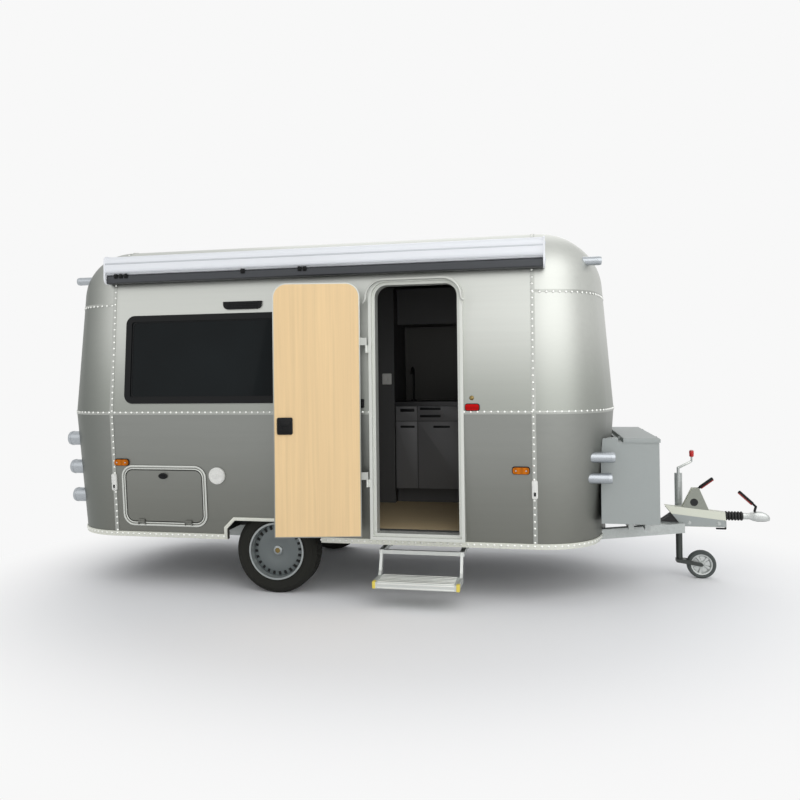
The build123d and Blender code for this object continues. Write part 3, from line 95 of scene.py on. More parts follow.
def toned(base, by):
    """A colour made darker or lighter by a factor."""
    return (*(min(1.0, c * by) for c in base[:3]), 1.0)


def fill(tree, sockets, values):
    """Set each named socket to its value, or link it to the output given for it."""
    for name, value in values.items():
        if isinstance(value, bpy.types.NodeSocket):
            tree.links.new(value, sockets[name])
        else:
            sockets[name].default_value = value


def add(tree, kind, inputs=None, **settings):
    """Add a node, set its properties, and fill or link its inputs."""
    node = tree.nodes.new(kind)
    for name, value in settings.items():
        setattr(node, name, value)
    fill(tree, node.inputs, inputs or {})
    return node


def tint(name, description, text):
    """A colour that a user may change, given as an sRGB hex value."""
    return FloatVectorProperty(name=name, description=description, subtype="COLOR", size=4,
                               min=0, max=1, default=colour(text))


def length(name, description, default):
    """A length in metres that a user may change."""
    return FloatProperty(name=name, description=description, unit="LENGTH", min=0, default=default)


class TrailerSizes(PropertyGroup):
    """Sizes of what this script adds."""
    rivet_pitch: length("Rivet pitch", "Distance from rivet to rivet", 0.048)
    rivet_radius: length("Rivet radius", "Radius of a rivet's head", 0.0090)
    strip_width: length("Strip width", "Width of the strips over the seams", 0.030)
    strip_thick: length("Strip thickness", "How far the seam strips stand out", 0.003)
    groove_depth: length("Tread depth", "Depth of the grooves in the tyres", 0.008)


class TrailerColours(PropertyGroup):
    """Colours of the main finishes."""
    # The lower sheet is a darker copy of the upper one: painted shade below the belt
    upper_sheet: tint("Upper sheet", "Aluminium above the belt", "#C4C6C1")
    lower_sheet_shaded: tint("Lower sheet", "Aluminium below the belt", "#8F918D")
    hood: tint("Rain hood", "Anodised hood over the door", "#B6B8B3")
    sill: tint("Sill rail", "Rail round the foot of the shell", "#DCDDD3")
    enamel: tint("Awning enamel", "Awning case", "#E6E8EB")
    lining: tint("Door lining", "Wood laminate inside the door", "#E4C594")
    floor: tint("Cabin floor", "Vinyl planks", "#BBA783")
    cabinet: tint("Cabinet", "Kitchen and lockers", "#4A4A4A")
    rubber: tint("Tyre rubber", "Road tyres", "#242420")
    # The wheel's enamel is darkened as painted shade on the dish
    wheel: tint("Wheel", "Wheel enamel", "#6E7474")
    zinc: tint("Zinc", "Galvanised chassis and jockey wheel", "#B4B8B6")
    housing: tint("Overrun housing", "Housing enamel", "#C6C8BA")
    amber: tint("Amber", "Side markers", "#C66C10")
    red: tint("Red", "Rear lenses, entry lamp and grips", "#B80B0A")


def new_material(name):
    """An empty material: itself, its tree, its shader's sockets and its Object coordinates."""
    material = bpy.data.materials.new(name)
    material.use_nodes = True
    tree = material.node_tree
    place = add(tree, "ShaderNodeTexCoord").outputs
    return material, tree, tree.nodes["Principled BSDF"].inputs, place


def per_mm(size):
    """The pattern scale that makes one feature about this many millimetres wide."""
    return 1000.0 / size


def grained(name, base, metallic, roughness, grain_mm, spread=0.08, bump_mm=0.15, specular=0.5):
    """A finish with fine grain: noise shifts its colour, roughness and height a little."""
    material, tree, shader, place = new_material(name)
    noise = add(tree, "ShaderNodeTexNoise", {"Vector": place["Object"], "Detail": 5.0,
                                             "Scale": per_mm(grain_mm)}).outputs["Fac"]
    mix = add(tree, "ShaderNodeMix", {"Factor": noise, MIX_A: toned(base, 1 - spread),
                                      MIX_B: toned(base, 1 + spread)}, data_type="RGBA")
    rough = add(tree, "ShaderNodeMapRange", {"Value": noise, "To Min": roughness * 0.85,
                                             "To Max": min(1.0, roughness * 1.15)})
    bump = add(tree, "ShaderNodeBump", {"Height": noise, "Distance": bump_mm / 1000,
                                        "Strength": 0.6})
    fill(tree, shader, {"Base Color": mix.outputs[MIXED], "Roughness": rough.outputs["Result"],
                        "Normal": bump.outputs["Normal"], "Metallic": metallic,
                        "Specular IOR Level": specular})
    return material


def rolled_sheet(name, base, shaded_tone, low, high, lined=True):
    """Aluminium sheet, rolled and lacquered: satin, with long faint streaks along the rolling
    direction and slow waves where a thin panel lies between rivets. Painted shade darkens it from
    one height down to another, and darkens the rear end. Inside, a vinyl lining where lined."""
    material, tree, shader, place = new_material(name)
    # The streaks of rolled sheet are finer than a pixel, so they are drawn 30 mm wide
    stretched = add(tree, "ShaderNodeMapping", {"Vector": place["Object"],
                                                "Scale": (per_mm(900), per_mm(30), per_mm(30))})
    streaks = add(tree, "ShaderNodeTexNoise", {"Vector": stretched.outputs["Vector"], "Scale": 1.0,
                                               "Detail": 4.0}).outputs["Fac"]
    waves = add(tree, "ShaderNodeTexNoise", {"Vector": place["Object"], "Scale": per_mm(420),
                                             "Detail": 1.0}).outputs["Fac"]
    spot = add(tree, "ShaderNodeSeparateXYZ", {"Vector": place["Object"]}).outputs
    # Painted shade: the sheet darkens from one height down to another
    lit_by_height = add(tree, "ShaderNodeMapRange", {"Value": spot["Z"], "From Min": low, "From Max": high},
                interpolation_type="SMOOTHSTEP")
    metal = add(tree, "ShaderNodeMix", {"Factor": lit_by_height.outputs["Result"], MIX_A: shaded_tone,
                                        MIX_B: base}, data_type="RGBA")
    # Painted shade on the rear end, deepest towards its middle
    rear_shade = add(tree, "ShaderNodeMapRange", {"Value": spot["X"], "From Min": SEAM_REAR + 0.05,
                                             "From Max": SEAM_REAR - 0.30, "To Max": 0.90})
    metal = add(tree, "ShaderNodeMix", {"Factor": rear_shade.outputs["Result"],
                                        MIX_A: metal.outputs[MIXED], MIX_B: colour("#70746F")},
                data_type="RGBA")
    shade = add(tree, "ShaderNodeMapRange", {"Value": streaks, "To Min": 0.93, "To Max": 1.05})
    metal = add(tree, "ShaderNodeMix", {"Factor": 1.0, MIX_A: metal.outputs[MIXED],
                                        MIX_B: shade.outputs["Result"]},
                data_type="RGBA", blend_type="MULTIPLY")
    # A face that points away from the cabin's middle is outside; without a lining, every face is
    from_middle = add(tree, "ShaderNodeVectorMath", {0: place["Object"], 1: CABIN_MIDDLE},
                      operation="SUBTRACT")
    facing = add(tree, "ShaderNodeVectorMath", {0: from_middle.outputs["Vector"],
                                                1: place["Normal"]}, operation="DOT_PRODUCT")
    outside = add(tree, "ShaderNodeMath", {0: facing.outputs["Value"],
                                           1: 0.0 if lined else -100.0}, operation="GREATER_THAN")
    skin = add(tree, "ShaderNodeMix", {"Factor": outside.outputs["Value"], MIX_A: colour("#4C4B47"),
                                       MIX_B: metal.outputs[MIXED]}, data_type="RGBA")
    rough = add(tree, "ShaderNodeMapRange", {"Value": streaks, "To Min": 0.42, "To Max": 0.54})
    bump = add(tree, "ShaderNodeBump", {"Height": waves, "Distance": 0.004, "Strength": 0.35})
    fill(tree, shader, {"Base Color": skin.outputs[MIXED], "Metallic": outside.outputs["Value"],
                        "Roughness": rough.outputs["Result"], "Normal": bump.outputs["Normal"]})
    return material


def wood_laminate(name, base, grain_mm, underfoot=False):
    """Printed wood laminate under a clear satin film: straight pale grain, which runs along the
    height, or along the length where it is underfoot."""
    material, tree, shader, place = new_material(name)
    along, across = per_mm(1400), per_mm(grain_mm)
    scale = (along, across, across) if underfoot else (across, across, along)
    stretched = add(tree, "ShaderNodeMapping", {"Vector": place["Object"], "Scale": scale})
    grain = add(tree, "ShaderNodeTexNoise", {"Vector": stretched.outputs["Vector"], "Scale": 1.0,
                                             "Detail": 6.0, "Roughness": 0.6,
                                             "Distortion": 0.4}).outputs["Fac"]
    ramp = add(tree, "ShaderNodeValToRGB", {"Fac": grain})
    for stop, position, tone in zip(ramp.color_ramp.elements, (0.32, 0.68), (0.93, 1.04)):
        stop.position, stop.color = position, toned(base, tone)
    # Underfoot, faces that don't point up take painted shade: the floor's edges and underside
    faces = add(tree, "ShaderNodeSeparateXYZ", {"Vector": place["Normal"]}).outputs["Z"]
    unshaded = add(tree, "ShaderNodeMath", {0: faces, 1: 0.5 if underfoot else -2.0},
                  operation="GREATER_THAN")
    board = add(tree, "ShaderNodeMix", {"Factor": unshaded.outputs["Value"],
                                        MIX_A: colour("#161615"), MIX_B: ramp.outputs["Color"]},
                data_type="RGBA")
    rough = add(tree, "ShaderNodeMapRange", {"Value": grain, "To Min": 0.42, "To Max": 0.52})
    bump = add(tree, "ShaderNodeBump", {"Height": grain, "Distance": 0.0004, "Strength": 0.5})
    fill(tree, shader, {"Base Color": board.outputs[MIXED], "Roughness": rough.outputs["Result"],
                        "Normal": bump.outputs["Normal"]})
    return material


def galvanised_steel(name, base):
    """Hot-dip galvanised steel: dull grey zinc in frost-like patches about 12 mm wide."""
    material, tree, shader, place = new_material(name)
    patches = add(tree, "ShaderNodeTexVoronoi", {"Vector": place["Object"], "Scale": per_mm(12)})
    grey = add(tree, "ShaderNodeSeparateColor",
               {"Color": patches.outputs["Color"]}).outputs["Red"]
    mix = add(tree, "ShaderNodeMix", {"Factor": grey, MIX_A: toned(base, 0.90),
                                      MIX_B: toned(base, 1.08)}, data_type="RGBA")
    rough = add(tree, "ShaderNodeMapRange", {"Value": grey, "To Min": 0.42, "To Max": 0.62})
    fill(tree, shader, {"Base Color": mix.outputs[MIXED], "Roughness": rough.outputs["Result"],
                        "Metallic": 0.85})
    return material


def ribbed_lens(name, base, rib_mm, axis):
    """Moulded polycarbonate lens: clear gloss over fine ribs that scatter the light."""
    material, tree, shader, place = new_material(name)
    # Real ribs are too fine to show, so the wave's bands are drawn 2 pi times as wide
    ribs = add(tree, "ShaderNodeTexWave", {"Vector": place["Object"], "Scale": per_mm(rib_mm) / 20},
               bands_direction=axis).outputs["Fac"]
    mix = add(tree, "ShaderNodeMix", {"Factor": ribs, MIX_A: toned(base, 0.72), MIX_B: base},
              data_type="RGBA")
    bump = add(tree, "ShaderNodeBump", {"Height": ribs, "Distance": 0.0008, "Strength": 0.6})
    fill(tree, shader, {"Base Color": mix.outputs[MIXED], "Normal": bump.outputs["Normal"],
                        "Roughness": 0.22, "Specular IOR Level": 0.1})
    return material


def tinted_acrylic(name):
    """Smoked acrylic glazing: nearly black, smooth, with a hard coat that holds back glare and a
    slow draw in the sheet."""
    material, tree, shader, place = new_material(name)
    draw = add(tree, "ShaderNodeTexNoise", {"Vector": place["Object"],
                                            "Scale": per_mm(700)}).outputs["Fac"]
    mix = add(tree, "ShaderNodeMix", {"Factor": draw, MIX_A: colour("#070A0B"),
                                      MIX_B: colour("#161C1E")}, data_type="RGBA")
    bump = add(tree, "ShaderNodeBump", {"Height": draw, "Distance": 0.003, "Strength": 0.25})
    fill(tree, shader, {"Base Color": mix.outputs[MIXED], "Normal": bump.outputs["Normal"],
                        "Roughness": 0.04, "Specular IOR Level": 0.1})
    return material


def make_finishes(colours):
    """Every finish by its short name. A grained one has its colour, metallic, roughness, grain in
    millimetres, spread of tone and height of grain in millimetres."""
    return {
        # Below the belt the sheet is a darker copy as painted shade, and each sheet darkens towards
        # its foot as more painted shade
        "upper": rolled_sheet("rolled_aluminium_upper", colours.upper_sheet, colour("#989B95"),
                              BELT - 0.05, UPPER_SEAM - 0.1),
        "lower": rolled_sheet("rolled_aluminium_lower", colours.lower_sheet_shaded, colour("#7C7D77"),
                              SKIRT, BELT),
        # The door's own skin, which goes from the upper sheet's tone to the lower sheet's painted
        # shade
        "door_skin": rolled_sheet("rolled_aluminium_door_shaded_below", colours.upper_sheet,
                                  colours.lower_sheet_shaded, BELT - 0.3, BELT + 0.9, lined=False),
        # Polyester enamel on the steel box: a soft grey, slightly dusty
        "box": grained("grey_enamel", colour("#9A9F9D"), 0.1, 0.5, 7.0, 0.06),
        # Extruded aluminium, anodised: brighter than the sheet, a fine even grain
        "hood": grained("anodised_aluminium", colours.hood, 1.0, 0.36, 3.0),
        # Rivet heads are bare and polished by the snap, so each one glints
        "rivet": grained("bright_rivet", colour("#EDEEE9"), 0.8, 0.30, 3.0),
        # Beads and frames rubbed by hands: the palest metal on the wall
        "bead": grained("rubbed_aluminium", colour("#D2D4CE"), 0.6, 0.42, 4.0),
        # Seam strips are lacquered with the sheet, so only a little paler than it
        "seam": grained("lacquered_strip", colour("#A9ABA6"), 0.9, 0.40, 3.0),
        # Extruded tread, scuffed bright by shoes
        "tread": grained("scuffed_aluminium", colour("#D0D3CF"), 0.7, 0.45, 4.0, 0.10),
        # The sill's anodising is weathered pale, so it scatters more
        "sill": grained("weathered_aluminium", colours.sill, 0.7, 0.5, 9.0, 0.12),
        # Powder enamel on an aluminium case: smooth, slight orange peel
        "enamel": grained("white_enamel", colours.enamel, 0.0, 0.35, 4.0, 0.03, 0.1),
        # The same enamel on the case's ribs, drawn greyer
        "enamel_rib": grained("grey_enamel_rib", colour("#C8CBCE"), 0.0, 0.4, 4.0, 0.04),
        # Painted shade on the lead rail under the case: dark, with some of the metal's sheen
        "rail_painted_shade": grained("lead_rail_painted_shade", colour("#45474A"), 0.6, 0.45, 3.0),
        "lining": wood_laminate("beech_laminate", colours.lining, 26.0),
        "floor": wood_laminate("vinyl_plank", colours.floor, 34.0, underfoot=True),
        # Pressed laminate on the cabinets: even and half matt
        "cabinet": grained("grey_laminate", colours.cabinet, 0.0, 0.5, 6.0, 0.06),
        # The fronts take a paler copy of the cabinet laminate: painted light
        "cabinet_front": grained("grey_laminate_painted_light", colour("#727273"), 0.0, 0.42, 6.0, 0.06),
        # Printed stone: nearly black, with grit that shows as a fleck
        "counter": grained("stone_laminate", colour("#1E1F20"), 0.0, 0.35, 2.5, 0.35),
        # ABS moulding: black, finely textured by the mould
        "black": grained("black_abs", colour("#0F1011"), 0.0, 0.48, 1.5, 0.15, specular=0.2),
        # ABS in colours: the same mould texture, with a soft gloss
        "white": grained("white_abs", colour("#DEDED9"), 0.0, 0.42, 2.0, 0.04),
        "yellow": grained("yellow_abs", colour("#E0CB58"), 0.0, 0.45, 2.0, 0.06),
        "red_grip": grained("red_abs", colours.red, 0.0, 0.35, 2.0, 0.08),
        "red_stripe": grained("dark_red_abs", colour("#8E1E1A"), 0.0, 0.4, 2.0, 0.08),
        "glass": tinted_acrylic("smoked_acrylic"),
        # Tyre rubber: soft black with road dust in its pores
        "rubber": grained("tyre_rubber", colours.rubber, 0.0, 0.85, 5.0, 0.30, 0.3, specular=0.25),
        # Solid rubber of the jockey wheel: grey and scuffed matt
        "grey_rubber": grained("grey_rubber", colour("#474C4A"), 0.0, 0.7, 4.0, 0.12),
        # Moulded rubber: black, with a dull sheen on its folds
        "bellows": grained("bellows_rubber", colour("#1B1B1B"), 0.0, 0.62, 3.0, 0.2),
        # Metallic enamel sprayed on the steel disc: a low, even sheen, darkened as painted shade
        "wheel": grained("wheel_enamel", colours.wheel, 0.55, 0.42, 4.0, 0.08),
        # Painted highlight: the wheel's lip and a ring round its cap are paler than its dish
        "wheel_highlight": grained("wheel_enamel_painted_highlight", colour("#A4A9A8"), 0.6, 0.36, 4.0, 0.10),
        # Matt black painted shade, as deep slots and holes look
        "shadow": grained("slot_painted_shade", colour("#141515"), 0.0, 0.7, 4.0, 0.2),
        # Cast brass left to age: brown, with a glint
        "brass": grained("aged_brass", colour("#86744A"), 1.0, 0.38, 2.0),
        "zinc": galvanised_steel("galvanised_steel", colours.zinc),
        # Zinc on the jockey leg and fork, darkened as painted shade under the tube
        "shaded_zinc": galvanised_steel("zinc_painted_shade", colour("#4A4D4B")),
        # Lever bracket: passivated zinc, duller than the dip
        "bracket": galvanised_steel("passivated_zinc", colour("#8D9088")),
        # Enamel on the pressed housing: half gloss and a little uneven
        "housing": grained("cream_enamel", colours.housing, 0.15, 0.45, 5.0, 0.07),
        # Sand-cast and zinc-plated: a coarse pebbled skin
        "casting": grained("plated_casting", colour("#C3C6C4"), 0.9, 0.4, 3.5, 0.12, 0.35),
        # Bright enamel on the lamp pods: smooth, with a hard glint
        "lamp_shell": grained("lamp_chrome_enamel", colour("#AFB4B8"), 0.75, 0.28, 3.0, 0.05),
        "amber": ribbed_lens("amber_polycarbonate", colours.amber, 7.0, "X"),
        "red_lens": ribbed_lens("red_polycarbonate", colours.red, 6.0, "Z"),
        "clear_lens": ribbed_lens("clear_polycarbonate", colour("#D8DCDD"), 6.0, "Z"),
    }


FINISH = {}


def dress(finish, *nodes):
    """Give CAD nodes a finish."""
    for node in nodes:
        for slot in frame["nodes"][node].material_slots:
            slot.material = FINISH[finish]


def new_object(name, data):
    """An object linked into the scene."""
    obj = bpy.data.objects.new(name, data)
    bpy.context.scene.collection.objects.link(obj)
    return obj


def piece(name, bm, body, slot, *finishes, replaces=(), sharp=35.0):
    """Turn a bmesh into a piece that rides on a body."""
    mesh = bpy.data.meshes.new(name)
    bm.to_mesh(mesh)
    bm.free()
    for finish in finishes:
        mesh.materials.append(FINISH[finish])
    mesh.shade_smooth()
    mesh.set_sharp_from_angle(angle=math.radians(sharp))
    obj = new_object(name, mesh)
    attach(obj, body)
    if replaces:
        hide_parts(*replaces)


def paint(faces, index):
    """Give faces one of their piece's finishes."""
    for face in faces:
        face.material_index = index


def join(bm, shape, place, index=0):
    """Paint a finished shape, move it to its place and add it to a piece."""
    paint(shape.faces, index)
    shape.transform(place)
    mesh = bpy.data.meshes.new("shape")
    shape.to_mesh(mesh)
    shape.free()
    bm.from_mesh(mesh)
    bpy.data.meshes.remove(mesh)


def round_off(shape, geom, offset, segments, affect="EDGES"):
    """Round a shape's edges or corners."""
    bmesh.ops.bevel(shape, geom=geom, offset=offset, offset_type="OFFSET", affect=affect,
                    segments=segments, profile=0.5, material=-1, clamp_overlap=True)


def thicken(shape, thick, edge=0.0):
    """Give a flat shape its thickness along Z, and round its upper edges."""
    raised = bmesh.ops.extrude_face_region(shape, geom=shape.faces[:])["geom"]
    bmesh.ops.translate(shape, vec=(0, 0, thick),
                        verts=[v for v in raised if isinstance(v, bmesh.types.BMVert)])
    bmesh.ops.recalc_face_normals(shape, faces=shape.faces[:])
    if edge:
        tops = [e for e in shape.edges
                if min(v.co.z for v in e.verts) > thick / 2 and e.calc_face_angle(0.0) > 1.0]
        round_off(shape, tops, edge, 2)


def add_box(bm, low, high, bevel, index=0, place=Matrix.Identity(4)):
    """Add a box between two corners, its edges rounded."""
    low, high = Vector(low), Vector(high)
    shape = bmesh.new()
    bmesh.ops.create_cube(shape, size=1.0)
    bmesh.ops.scale(shape, vec=high - low, verts=shape.verts)
    bmesh.ops.translate(shape, vec=(low + high) / 2, verts=shape.verts)
    round_off(shape, shape.edges[:], bevel, 3)
    join(bm, shape, place, index)


def turned_to(axis):
    """The turn that stands a piece's Z along an upright face's normal, with its Y up."""
    normal = Vector(axis).normalized()
    up = (Vector((0, 0, 1)) - normal * normal.z).normalized()
    return Matrix((up.cross(normal), up, normal)).transposed().to_4x4()


def upright(spot, axis):
    """The place of a plate: its middle, with Z along an upright face's normal."""
    return Matrix.Translation(spot) @ turned_to(axis)


def moved(place, x, y):
    """A place moved along its own X and Y."""
    return place @ Matrix.Translation((x, y, 0))


def axis_place(centre, axis):
    """The place of a turned piece: its centre, with Z along its axis."""
    turn = Vector(axis).to_track_quat("Z", "Y").to_matrix().to_4x4()
    return Matrix.Translation(Vector(centre)) @ turn


def on_wall(tree, x, z, side=RIGHT):
    """The place on a side wall at one x and height: X along the wall, Y up it and Z outwards."""
    start = Vector((x, CENTRE_Y + side * 1.5, z))
    spot, normal, _, _ = tree.ray_cast(start, Vector((0, -side, 0)), 0.8)
    if spot is None:
        raise RuntimeError(f"no wall at x {x:.3f}, z {z:.3f}")
    return upright(spot, normal)


def middle_of(node):
    """The middle of a node on the side wall, as x and height."""
    low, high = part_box(node)
    return (low.x + high.x) / 2, (low.z + high.z) / 2


def add_plate(bm, width, height, corner, thick, place, edge=0.0, rim=0.0):
    """Add a plate with round corners that stands out along its place's Z; with a rim, only its
    border."""
    shape = bmesh.new()
    bmesh.ops.create_grid(shape, x_segments=1, y_segments=1, size=0.5)
    bmesh.ops.scale(shape, vec=(width, height, 1), verts=shape.verts)
    round_off(shape, shape.verts[:], corner, 6, "VERTICES")
    if rim:
        middle = shape.faces[:]
        bmesh.ops.inset_region(shape, faces=middle, thickness=rim, use_boundary=True,
                               use_even_offset=True)
        bmesh.ops.delete(shape, geom=middle, context="FACES_ONLY")
    thicken(shape, thick, edge)
    join(bm, shape, place)


def add_panels(bm, rows, y, corner, thick, edge):
    """Add plates that face right, given as left, right, bottom and top edges."""
    for left, right, bottom, top in rows:
        place = upright(((left + right) / 2, y, (bottom + top) / 2), FACING_RIGHT)
        add_plate(bm, right - left, top - bottom, corner, thick, place, edge)


def add_sheet(bm, points, place, thick):
    """Add a flat sheet with corners at points in its place's plane, standing out along its Z."""
    shape = bmesh.new()
    shape.faces.new([shape.verts.new((*point, 0)) for point in points])
    thicken(shape, thick)
    join(bm, shape, place)


def add_trim(bm, points, place, width, thick):
    """Add a strip along a line of points in its place's plane, standing out along its Z, edges
    rounded."""
    line = [Vector((*point, 0)) for point in points]
    shape = bmesh.new()
    sides = []
    for before, spot, after in zip(line[:1] + line, line, line[1:] + line[-1:]):
        runs = [(end - start).normalized() for start, end in ((before, spot), (spot, after))
                if end != start]
        along = sum(runs, Vector()).normalized()
        across = Vector((-along.y, along.x, 0)) * (width / 2 / along.dot(runs[0]))
        sides.append([shape.verts.new(corner) for corner in (spot + across, spot - across)])
    for (a, b), (c, d) in zip(sides, sides[1:]):
        shape.faces.new((a, b, d, c))
    thicken(shape, thick, thick * 0.3)
    join(bm, shape, place)


def add_turned(bm, profile, place, steps, index=0):
    """Spin a closed profile of (radius, distance along the axis) points round its place's Z."""
    shape = bmesh.new()
    verts = [shape.verts.new((radius, 0, along)) for radius, along in profile]
    edges = [shape.edges.new(pair) for pair in zip(verts, verts[1:] + verts[:1])]
    bmesh.ops.spin(shape, geom=verts + edges, cent=(0, 0, 0), axis=(0, 0, 1), angle=2 * math.pi,
                   steps=steps, use_merge=True)
    bmesh.ops.remove_doubles(shape, verts=shape.verts[:], dist=1e-6)
    bmesh.ops.recalc_face_normals(shape, faces=shape.faces[:])
    join(bm, shape, place, index)


def both_ways(half):
    """A whole profile from the half of it on one side of the middle."""
    return half + [(radius, -out) for radius, out in reversed(half)]


def faces_round(bm, place, steps):
    """Each face of a turned piece, with its radius, distance along the axis and step round it."""
    inverse = place.inverted()
    for face in bm.faces:
        spot = inverse @ face.calc_center_median()
        turn = math.atan2(spot.y, spot.x) % (2 * math.pi)
        yield face, math.hypot(spot.x, spot.y), spot.z, int(turn / (2 * math.pi) * steps)


def bridge(shape, rings):
    """Join each ring of vertices to the next by faces."""
    for near, far in zip(rings, rings[1:]):
        for index, vert in enumerate(near):
            after = (index + 1) % len(near)
            shape.faces.new((vert, near[after], far[after], far[index]))


def add_loft(bm, sections):
    """Join rounded sections across x, each given as x, half width, bottom and top, into a closed
    skin."""
    count = 24
    shape = bmesh.new()
    rings = []
    for x, half, bottom, top in sections:
        ring = []
        for index in range(count):
            angle = 2 * math.pi * index / count
            side, rise = math.cos(angle), math.sin(angle)
            # Square the circle a little, so that the flanks stay flat
            swell = (side ** 4 + rise ** 4) ** -0.25
            ring.append(shape.verts.new((x, CENTRE_Y + half * side * swell,
                                         (bottom + top) / 2 + (top - bottom) / 2 * rise * swell)))
        rings.append(ring)
    bridge(shape, rings)
    shape.faces.new(rings[0])
    shape.faces.new(rings[-1])
    bmesh.ops.recalc_face_normals(shape, faces=shape.faces[:])
    join(bm, shape, Matrix.Identity(4))
    bm.normal_update()


def add_bead(bm, tree, box, inset, corner, width, thick):
    """Lay a flat bead on the right-hand wall, round a box (low and high corner) with round
    corners."""
    low, high = box
    # The bead's section: shift across it, in widths, and height off the wall
    section = ((-0.5, -0.001), (-0.5, thick * 0.6), (-0.25, thick), (0.25, thick),
               (0.5, thick * 0.6), (0.5, -0.001))
    shape = bmesh.new()
    rings = []
    for turn, (x, z) in enumerate(((high.x, high.z), (low.x, high.z), (low.x, low.z),
                                   (high.x, low.z))):
        middle = Vector((x - math.copysign(inset + corner, x - (low.x + high.x) / 2),
                         z - math.copysign(inset + corner, z - (low.z + high.z) / 2)))
        for index in range(9):
            angle = math.pi / 2 * (turn + index / 8)
            out = Vector((math.cos(angle), math.sin(angle)))
            ring = []
            for shift, lift in section:
                place = on_wall(tree, *(middle + out * (corner + width * shift)))
                ring.append(shape.verts.new(place @ Vector((0, 0, lift))))
            rings.append(ring)
    bridge(shape, rings + rings[:1])
    bmesh.ops.recalc_face_normals(shape, faces=shape.faces[:])
    join(bm, shape, Matrix.Identity(4))


def add_bolt(bm, spot, axis, radius, height):
    """Add a hexagon bolt head with a washer under it."""
    place = axis_place(spot, axis)
    washer, sheet = radius * 1.35, height * 0.2
    add_turned(bm, [(0, 0), (washer, 0), (washer, sheet), (0, sheet)], place, 20)
    add_turned(bm, [(0, 0), (radius, 0), (radius, height * 0.85), (radius * 0.85, height),
                    (0, height)], place, 6)


def add_bar(bm, start, end, half_width, thick, index=0):
    """Add a rounded bar in the middle plane between two (x, z) points."""
    run = Vector((end[0] - start[0], 0, end[1] - start[1]))
    place = axis_place((start[0], CENTRE_Y, start[1]), run)
    lies_across = abs((place.to_3x3() @ Vector((1, 0, 0))).y) > 0.5
    wide, deep = (half_width, thick / 2) if lies_across else (thick / 2, half_width)
    over = thick * 0.3
    add_box(bm, (-wide, -deep, -over), (wide, deep, run.length + over), over, index, place)


def surface(*nodes):
    """The faces of CAD nodes, to seat pieces on."""
    verts, faces = [], []
    for node in nodes:
        mesh = frame["nodes"][node].data
        start = len(verts)
        verts += [vert.co.copy() for vert in mesh.vertices]
        faces += [[start + index for index in polygon.vertices] for polygon in mesh.polygons]
    return BVHTree.FromPolygons(verts, faces)


def side_wall(name):
    """The faces of one side's wall."""
    return surface(f"side_{name}_upper", f"side_{name}_lower")


def ring_rays(z):
    """Rays from outside towards the shell, in order round it at one height."""
    reach, depth, step, bends = 1.35, 0.75, 0.006, 500
    rays = []
    for start, stop, side in ((SEAM_FRONT, SEAM_REAR, LEFT), (SEAM_REAR, SEAM_FRONT, RIGHT)):
        count = int(abs(stop - start) / step)
        for index in range(count + 1):
            x = start + (stop - start) * index / count
            rays.append((Vector((x, CENTRE_Y + side * reach, z)), Vector((0, -side, 0)), depth))
        way = -1 if stop == SEAM_REAR else 1
        for index in range(1, bends):
            angle = math.pi * index / bends
            out = Vector((way * math.sin(angle), side * math.cos(angle), 0))
            rays.append((Vector((stop, CENTRE_Y, z)) + out * reach, -out, depth))
    return rays


def hoop_rays(x):
    """Rays towards the shell, in order up one side, over the roof and down the other, at one x."""
    reach, depth, count, first, sweep = 1.75, 1.3, 1200, 224, 268
    rays = []
    for index in range(count):
        angle = math.radians(first - sweep * index / (count - 1))
        out = Vector((0, math.cos(angle), math.sin(angle)))
        rays.append((Vector((x, CENTRE_Y, BELT)) + out * reach, -out, depth))
    return rays


def evenly(tree, rays, pitch):
    """Seats on the surface at an even pitch along a row of rays; a row starts again after a gap."""
    seats, before, gone = [], None, pitch
    for origin, direction, depth in rays:
        spot, normal, _, _ = tree.ray_cast(origin, direction, depth)
        # A ray that misses, or only grazes an edge, is a gap
        if spot is None or normal.dot(direction) > -0.2:
            before, gone = None, pitch
            continue
        if before is not None:
            gone += (spot - before).length
        if gone >= pitch:
            seats.append((spot, normal))
            gone = 0.0
        before = spot
    return seats


def outward(face):
    """Whether a face of the shell is on its outside."""
    centre = face.calc_center_median()
    spine = Vector((min(max(centre.x, SEAM_REAR), SEAM_FRONT), CENTRE_Y,
                    min(max(centre.z, 0.0), UPPER_SEAM - 0.3)))
    return face.normal.dot((centre - spine).normalized()) > 0.35


def add_band(bm, nodes, cuts, thick):
    """Add a strip that follows the shell's outside between cutting planes."""
    strip = bmesh.new()
    for node in nodes:
        strip.from_mesh(frame["nodes"][node].data)
    bmesh.ops.remove_doubles(strip, verts=strip.verts, dist=1e-5)
    for point, normal in cuts:
        geom = strip.verts[:] + strip.edges[:] + strip.faces[:]
        bmesh.ops.bisect_plane(strip, geom=geom, dist=1e-6, plane_co=point, plane_no=normal,
                               clear_outer=True)
    strip.normal_update()
    inner = [face for face in strip.faces if not outward(face)]
    bmesh.ops.delete(strip, geom=inner, context="FACES")
    bmesh.ops.remove_doubles(strip, verts=strip.verts, dist=2e-4)
    strip.normal_update()
    bmesh.ops.solidify(strip, geom=strip.faces[:], thickness=-thick)
    join(bm, strip, Matrix.Identity(4))


def seen_rays(tree):
    """1 for the rays that show the backdrop: straight to the camera, in a reflection or through
    glass."""
    rays = add(tree, "ShaderNodeLightPath").outputs
    seen = add(tree, "ShaderNodeMath", {0: rays["Is Camera Ray"], 1: rays["Is Glossy Ray"]},
               operation="MAXIMUM")
    return add(tree, "ShaderNodeMath", {0: seen.outputs["Value"], 1: rays["Is Transmission Ray"]},
               operation="MAXIMUM").outputs["Value"]


